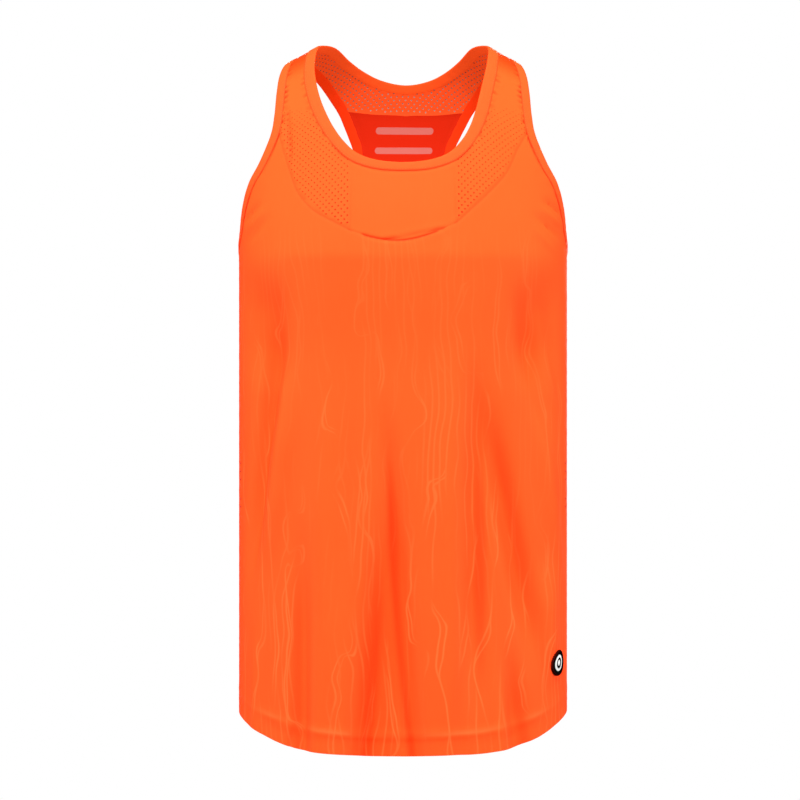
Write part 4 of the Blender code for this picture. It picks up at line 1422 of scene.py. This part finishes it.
# Painted shade in the grooves of seams and creases
SEAM_PAINTED_SHADE = (0.30, 0.011, 0.0006, 1)
BINDING_ORANGE = (0.98, 0.047, 0.0065, 1)
STRAP_SHADE = (0.80, 0.022, 0.0008, 1)
# Painted shade on the hole films, grey behind and dark red in front
HOLE_SHADE_GREY = (0.20, 0.165, 0.130, 1)
HOLE_SHADE_RED = (0.17, 0.011, 0.0012, 1)
# Painted shade for the small side holes, which are not cut
SIDE_HOLE_PAINTED_SHADE = (0.16, 0.006, 0.001, 1)
THREAD_ORANGE = (0.93, 0.060, 0.008, 1)
RUBBER_BLACK = (0.0010, 0.0010, 0.0010, 1)
RUBBER_GREY = (0.0040, 0.0038, 0.0038, 1)
RUBBER_RIM = (0.030, 0.0020, 0.0010, 1)
BADGE_PALE = (0.60, 0.60, 0.58, 1)
# Soft edges on the badge, as shares of its radius
DOT_EDGE = (0.20, 0.24)
RING_INNER_EDGE = (0.40, 0.44)
RING_OUTER_EDGE = (0.60, 0.64)
RIM_EDGE = (0.86, 0.95)
BLACK = (0.0, 0.0, 0.0, 1)
STRAP_SHADE_FADE = (0.018, 0.050)           # lengths from the shoulder line
STRAP_SHADE_TONE = 0.9
BINDING_SEAM_SHADE = 0.6
THREAD_GRAIN = 2400.0
# The inner side of each cloth: its colour, darkened as painted shade, and a painted glow that stands in
# for the light that comes through
BODY_INSIDE_SHADE_AND_GLOW = ((0.20, 0.0040, 0.0001, 1), (0.33, 0.0100, 0.0, 1))
MESH_INSIDE_SHADE_AND_GLOW = ((0.24, 0.0220, 0.0040, 1), (0.58, 0.0420, 0.0050, 1))
NECK_INSIDE_SHADE_AND_GLOW = ((0.30, 0.0260, 0.0030, 1), (0.58, 0.0480, 0.0060, 1))
ARMHOLE_INSIDE_SHADE_AND_GLOW = ((0.26, 0.0080, 0.0002, 1), (0.56, 0.0230, 0.0005, 1))
WALE = 0.00055
COURSE = 0.00045
KNIT_DEPTH = 0.000012
LINE_HALF_WIDTH = 0.0008
SLOPE_STEP = 0.0009       # over which the slope of the lines' count is measured
LEAST_SLOPE = 0.25        # of an unbent count's slope
# Sets of lines: pitch, bend in pitches, gap of a parted line, seed
BUNDLED = (0.0072, 6.0, 0.0, 21.0)
WANDERING = (0.0260, 4.0, 0.0026, 0.0)
BUNDLED_TONE = 0.75
# Noises: features in a metre of the piece's first coordinate, and of its second
SLOW_BEND = (11.0, 4.0)
QUICK_BEND = (30.0, 15.0)
PARTING = (9.0, 14.0)
SHOWING = (42.0, 6.0)
BUNDLING = (26.0, 2.4)
UNEVENNESS = (14.0, 9.0)
STREAKS = (900.0, 60.0)
BINDING_STREAKS = (60.0, 700.0)
RUBBER_GRAIN = (2600.0, 2600.0)
QUICK_SHARE = 0.38        # of the slow bend
# Values of a noise between which its effect comes in
PARTED = (0.38, 0.62)
SHOWN = (0.42, 0.60)
IN_BUNDLES = (0.46, 0.56)
CENTRE_FADE = (0.05, 0.12)                  # places across: there are more bundles inside them
CENTRE_GAIN = 0.06


# %% The knit and the tonal lines
def knit_height(shader, x, y):
    """Height of the knit: wales as sines across, broken by courses as sines along, in metres."""
    wales = (x * (2 * np.pi / WALE)).sine()
    courses = (y * (2 * np.pi / COURSE) + wales * 0.9).sine()
    return (wales * 0.6 + courses * 0.4) * KNIT_DEPTH


def line_set(shader, x, y, pitch, wander, gap, seed):
    """1 on one set of upright lines, else 0, and faded in and out along each.

    A count grows with x over the pitch, and noise stretched along the cloth bends it by wander
    pitches. The distance to the nearest line is the count's own distance to a whole number, over
    the count's slope across. A line parts into two, up to twice the gap from each other.
    """
    def count(at):
        slow = shader.noise(at, y, SLOW_BEND, seed)
        quick = shader.noise(at, y, QUICK_BEND, seed + 4.0)
        return at * (1 / pitch) + (slow + quick * QUICK_SHARE) * wander

    here, ahead = count(x), count(x + SLOPE_STEP)
    slope = abs(ahead - here) / SLOPE_STEP
    nearest = abs((here + 0.5).fraction() - 0.5)
    distance = nearest / slope.at_least(LEAST_SLOPE / pitch)
    if gap:
        parted = shader.noise(x, y, PARTING, seed + 13.0)
        distance = abs(distance - parted.eased(*PARTED) * gap)
    shown = shader.noise(x, y, SHOWING, seed + 9.0, 2.0).eased(*SHOWN)
    return (1 - distance.eased(LINE_HALF_WIDTH * 0.5, LINE_HALF_WIDTH * 1.5)) * shown


def tonal_lines(shader, x, y):
    """The print: bundles of lines that run together, and a sparse set that wanders between them."""
    bundled = line_set(shader, x, y, *BUNDLED)
    wandering = line_set(shader, x, y, *WANDERING)
    centre = 1 - abs(x).eased(*CENTRE_FADE)
    where = shader.noise(x, y, BUNDLING, 40.0) + centre * CENTRE_GAIN
    return wandering.at_least(bundled * where.eased(*IN_BUNDLES) * BUNDLED_TONE)


def cloth_colour(shader, x, y, seam):
    """The ground colour: slow unevenness, wale-wise streaks, and painted shade in the grooves of seams
    and creases.
    """
    slow = shader.noise(x, y, UNEVENNESS, 2.0, 3.0)
    streaks = shader.noise(x, y, STREAKS, 5.0)
    ground = shader.mix(slow * 0.5 + streaks * 0.3 - 0.15, ORANGE_DEEP, ORANGE)
    return shader.mix(seam, ground, SEAM_PAINTED_SHADE)


# %% The finishes
CLOTH_SETTINGS = {"Roughness": 0.75, "Specular_IOR_Level": 0.05, "Emission_Strength": 1.0}
CARE_BARS = ((-0.0668, 0.0031), (-0.0860, 0.0028))   # height and half height of each bar
CARE_HALF_WIDTH = 0.0285
CARE_PINK = (0.30, 0.080, 0.066, 1)
CARE_EDGE = 0.0002        # softness of a bar's edge
CARE_TONE = 0.9
PAINTED_SHADE_TONE = 0.6         # how much painted shade a deep fold shows
PRINT_FROM = 0.196        # length from the shoulder line at which the print starts
PRINT_FADE = 0.05
PRINT_TONE, PRINT_TONE_MORE = 0.30, 0.45    # at the top, and how much stronger at the hem
PRINT_STRONGER = (0.20, 0.60)               # lengths from the shoulder line
PRINT_RISE = 0.00003
SIDE_HOLES = ((-0.392, 3), (-0.4255, 2))     # height of a group's first hole, holes in it
SIDE_HOLE_STEP = 0.0076
SIDE_HOLE_OFFSET = 0.1530     # from the middle, as seen from in front
SIDE_HOLE_RADIUS = 0.0012
SIDE_HOLE_STRETCH = 0.5   # they lie on the turn of the side, so they are drawn longer across


def side_holes(x, y):
    """1 in the small holes in a column at each side of the front, else 0. They are not cut: the material
    paints them dark, as shade.
    """
    holes = 0.0
    for height, count in SIDE_HOLES:
        across, first = FRONT.chart(SIDE_HOLE_OFFSET, height)
        number = (abs(y) - abs(float(first))) / SIDE_HOLE_STEP
        fall = ((number + 0.5).fraction() - 0.5) * SIDE_HOLE_STEP
        aside = (abs(x) - float(across)) * SIDE_HOLE_STRETCH
        away = (fall * fall + aside * aside).root()
        group = number.eased(-0.50, -0.45) * (1 - number.eased(count - 0.55, count - 0.50))
        holes = (1 - away.eased(SIDE_HOLE_RADIUS * 0.8, SIDE_HOLE_RADIUS)) * group + holes
    return holes


def care_bars(x, y):
    """1 in the two plain bars inside the back neck, else 0. A level line rises in the chart."""
    bars = 0.0
    for middle_height, half_height in CARE_BARS:
        down, end = (float(BACK.down(place, middle_height)) for place in (0.0, CARE_HALF_WIDTH))
        bow = (down - end) / CARE_HALF_WIDTH ** 2
        reach = (abs(x) - (CARE_HALF_WIDTH - half_height)).at_least(0.0)
        fall = y - down + x * x * bow
        away = (reach * reach + fall * fall).root()
        bars = (1 - away.eased(half_height - CARE_EDGE, half_height + CARE_EDGE)) + bars
    return bars


def jersey(name, printed, care=False):
    """The panels' cloth: painted shade in the folds and at the hem, a painted highlight on the hem's
    ridge, a painted shade and glow inside, and the tonal print, the care bars or the painted side holes.
    """
    shader = Shader(name, **CLOTH_SETTINGS)
    x, y = shader.place()
    seam, outside, hollow = (shader.number(key) for key in ("seam", "outside", "hollow"))
    height = knit_height(shader, x, y)
    colour = cloth_colour(shader, x, y, seam)
    # Painted shade in the folds and under the hem's ridge, then a painted highlight on the ridge
    colour = shader.mix(hollow.at_least(0.0) * PAINTED_SHADE_TONE, colour, ORANGE_PAINTED_SHADE)
    colour = shader.mix((hollow * -1.0).at_least(0.0), colour, ORANGE_LIGHT)
    if printed:
        start = abs(y).eased(PRINT_FROM, PRINT_FROM + PRINT_FADE)
        strength = abs(y).eased(*PRINT_STRONGER) * PRINT_TONE_MORE + PRINT_TONE
        lines = tonal_lines(shader, x, y) * start * outside
        colour = shader.mix(lines * strength, colour, ORANGE_LIGHT)
        height = height + lines * PRINT_RISE
    # Painted shade and painted glow of the inner side
    inside, painted_glow = BODY_INSIDE_SHADE_AND_GLOW
    colour = shader.mix(outside, inside, colour)
    if care:
        bars = care_bars(x, y) * (1 - outside) * CARE_TONE
        colour = shader.mix(bars, colour, CARE_PINK)
        outside = outside.at_least(bars)
    else:
        # The small side holes as painted shade
        colour = shader.mix(side_holes(x, y) * outside, colour, SIDE_HOLE_PAINTED_SHADE)
    return shader.dyed(colour, height, outside, painted_glow)


def pierced_jersey(name, hole_shade_colour, film_alpha):
    """Jersey with holes, whose films are coloured as painted shade. The shoulder's cloth, between two
    bindings, has a painted shade.
    """
    shader = Shader(name, **CLOTH_SETTINGS)
    x, y = shader.place()
    seam, outside, hole = (shader.number(key) for key in ("seam", "outside", "hole"))
    # Painted shade and painted glow of the inner side
    inside, painted_glow = MESH_INSIDE_SHADE_AND_GLOW
    colour = cloth_colour(shader, x, y, seam)
    # Painted shade near the shoulder line, between the bindings
    near_shoulder = 1 - abs(y).eased(*STRAP_SHADE_FADE)
    colour = shader.mix(near_shoulder * STRAP_SHADE_TONE, colour, STRAP_SHADE)
    colour = shader.mix(outside, inside, colour)
    # The holes' films in painted shade
    colour = shader.mix(hole, colour, hole_shade_colour)
    shader.feed("Alpha", 1 - hole * (1 - film_alpha))
    return shader.dyed(colour, knit_height(shader, x, y), outside.at_least(hole), painted_glow)


def binding_jersey(name, inner):
    """The bindings' cloth. Its wales run across the strip, so its coordinates change places."""
    shader = Shader(name, **CLOTH_SETTINGS)
    x, y = shader.place()
    # Painted shade and painted glow of the inner side
    inside, painted_glow = inner
    seam, outside = shader.number("seam"), shader.number("outside")
    streaks = shader.noise(x, y, BINDING_STREAKS, 5.0, 2.0)
    ground = shader.mix(streaks * 0.2, BINDING_ORANGE, ORANGE_LIGHT)
    # Painted shade along the seam
    ground = shader.mix(seam * BINDING_SEAM_SHADE, ground, SEAM_PAINTED_SHADE)
    return shader.dyed(shader.mix(outside, inside, ground), knit_height(shader, y, x), outside, painted_glow)


def thread():
    """Orange thread, whose roughness varies as its twist does."""
    shader = Shader("orange_thread", Base_Color=THREAD_ORANGE, Roughness=0.6, Specular_IOR_Level=0.15)
    where = shader.node("ShaderNodeTexCoord", output="Object")
    x, y, z = shader.split(where)
    grain = shader.noise(x, y, (THREAD_GRAIN, THREAD_GRAIN), z * THREAD_GRAIN, 0.0)
    shader.feed("Roughness", grain * 0.3 + 0.4)
    return shader.material


def rubber():
    """Black rubber with a pale ring and dot, told apart by the distance from the badge's middle."""
    shader = Shader("badge_black_rubber", Roughness=0.5, Specular_IOR_Level=0.0)
    x, y = shader.place()
    away = (x * x + y * y).root() / BADGE_RADIUS
    dot = 1 - away.eased(*DOT_EDGE)
    ring = away.eased(*RING_INNER_EDGE) * (1 - away.eased(*RING_OUTER_EDGE))
    grain = shader.noise(x, y, RUBBER_GRAIN, 0.0, 2.0)
    colour = shader.mix(grain * 0.5, RUBBER_BLACK, RUBBER_GREY)
    colour = shader.mix(away.eased(*RIM_EDGE), colour, RUBBER_RIM)
    colour = shader.mix((dot + ring).at_most(1.0), colour, BADGE_PALE)
    shader.feed("Base Color", colour)
    shader.feed("Roughness", grain * 0.2 + 0.40)
    shader.bump(grain * 0.00002)
    return shader.material


# %% Dressing the pieces
finishes = {
    "front": jersey("front_jersey", printed=True),
    "back": jersey("back_jersey", printed=True, care=True),
    "chest": jersey("chest_jersey", printed=False),
    "front mesh": pierced_jersey("front_pierced_jersey", HOLE_SHADE_RED, 1.0),
    "back mesh": pierced_jersey("back_pierced_jersey", HOLE_SHADE_GREY, 0.85),
    "neck": binding_jersey("neck_binding_jersey", NECK_INSIDE_SHADE_AND_GLOW),
    "armhole": binding_jersey("armhole_binding_jersey", ARMHOLE_INSIDE_SHADE_AND_GLOW),
    "thread": thread(),
    "rubber": rubber(),
}
# Piece, finish, slot, the node it stands for
dressed = (
    (front_body, "front", "jersey", "front_body"),
    (back_body, "back", "jersey", "back_body"),
    (chest_panel, "chest", "jersey", "front_chest_panel"),
    (front_meshes[1], "front mesh", "perforated_jersey", "front_mesh_left"),
    (front_meshes[-1], "front mesh", "perforated_jersey", "front_mesh_right"),
    (back_yoke, "back mesh", "perforated_jersey", "back_mesh_yoke"),
    (neck_binding, "neck", "binding", "neck_binding"),
    (arm_bindings[1], "armhole", "binding", "armhole_binding_left"),
    (arm_bindings[-1], "armhole", "binding", "armhole_binding_right"),
    (badge, "rubber", "rubber", "badge"),
    (neck_thread, "thread", "binding", None),
    (arm_thread, "thread", "binding", None),
    (hem_thread, "thread", "jersey", None),
)
for piece, finish, slot, node in dressed:
    piece.data.materials.append(finishes[finish])
    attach(piece, "root")
    if node:
        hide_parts(node)

# %% The flat cut of each piece of cloth
for name, (width, length, area) in flat_cuts.items():
    print(f"{name}: {width:.3f} x {length:.3f} m, {area:.4f} m2")

# %% [markdown]
# ## Light, floor and camera
#
# The photograph is a cut-out on white with broad soft light from the front and above. The camera
# stands level, 2.6 m away, a little to the wearer's right of the middle.

# %% Camera
SCALE = 0.000956          # metres in a pixel of the 800 pixel frame, at the part's middle
CENTRE_COLUMN, CENTRE_ROW = 403.0, 52.5     # pixel of the part's origin
FRAME_PIXELS = 800
CAMERA_DISTANCE = 2.6
SENSOR = 36.0
camera_data = bpy.data.cameras.new("camera")
camera_data.sensor_width = SENSOR
camera_data.lens = SENSOR * CAMERA_DISTANCE / (SCALE * FRAME_PIXELS)
camera = in_scene("camera", camera_data)
middle_pixel = FRAME_PIXELS / 2
camera.location = ((middle_pixel - CENTRE_COLUMN) * SCALE, -CAMERA_DISTANCE,
                   (CENTRE_ROW - middle_pixel) * SCALE)
camera.rotation_euler = (np.pi / 2, 0, 0)
bpy.context.scene.camera = camera
print("lens:", round(camera_data.lens, 1), "mm")

# %% Floor, world and lights
FLOOR_HEIGHT = -0.78
FLOOR_HALF = 12.0
scene = bpy.context.scene
scene.view_settings.view_transform = "Standard"
world = bpy.data.worlds.new("white")
scene.world = world
world.use_nodes = True
background = world.node_tree.nodes["Background"]
background.inputs["Color"].default_value = (1, 1, 1, 1)
background.inputs["Strength"].default_value = 1.0
world.cycles_visibility.diffuse = False

corners = [(x * FLOOR_HALF, y * FLOOR_HALF, FLOOR_HEIGHT)
           for x, y in ((-1, -1), (1, -1), (1, 1), (-1, 1))]
floor_object = placed("floor", corners, [(0, 1, 2, 3)])
floor_shader = Shader("white_floor", Base_Color=BLACK, Roughness=1.0, Specular_IOR_Level=0.0,
                      Emission_Color=(1, 1, 1, 1), Emission_Strength=1.0)
floor_object.data.materials.append(floor_shader.material)
floor_object.visible_diffuse = False

# Softboxes: place, what they point at, width and height, watts
LIGHTS = (
    ((-0.25, -2.1, 2.4), (0, 0, -0.30), (1.6, 1.0), 350.0),
    ((-2.3, -1.0, -0.25), (0, 0, -0.40), (0.7, 1.6), 78.0),
    ((2.4, -0.9, -0.25), (0, 0, -0.40), (0.7, 1.6), 104.0),
    ((0.3, 2.8, 0.5), (0, 0, -0.30), (1.6, 1.0), 200.0),
)
for place, target, size, watts in LIGHTS:
    lamp_data = bpy.data.lights.new("softbox", "AREA")
    lamp_data.shape = "RECTANGLE"
    lamp_data.size, lamp_data.size_y = size
    lamp_data.energy = watts
    lamp = in_scene("softbox", lamp_data)
    lamp.location = place
    way = Vector(target) - Vector(place)
    lamp.rotation_euler = way.to_track_quat("-Z", "Y").to_euler()

# %% The end
bpy.context.view_layer.update()
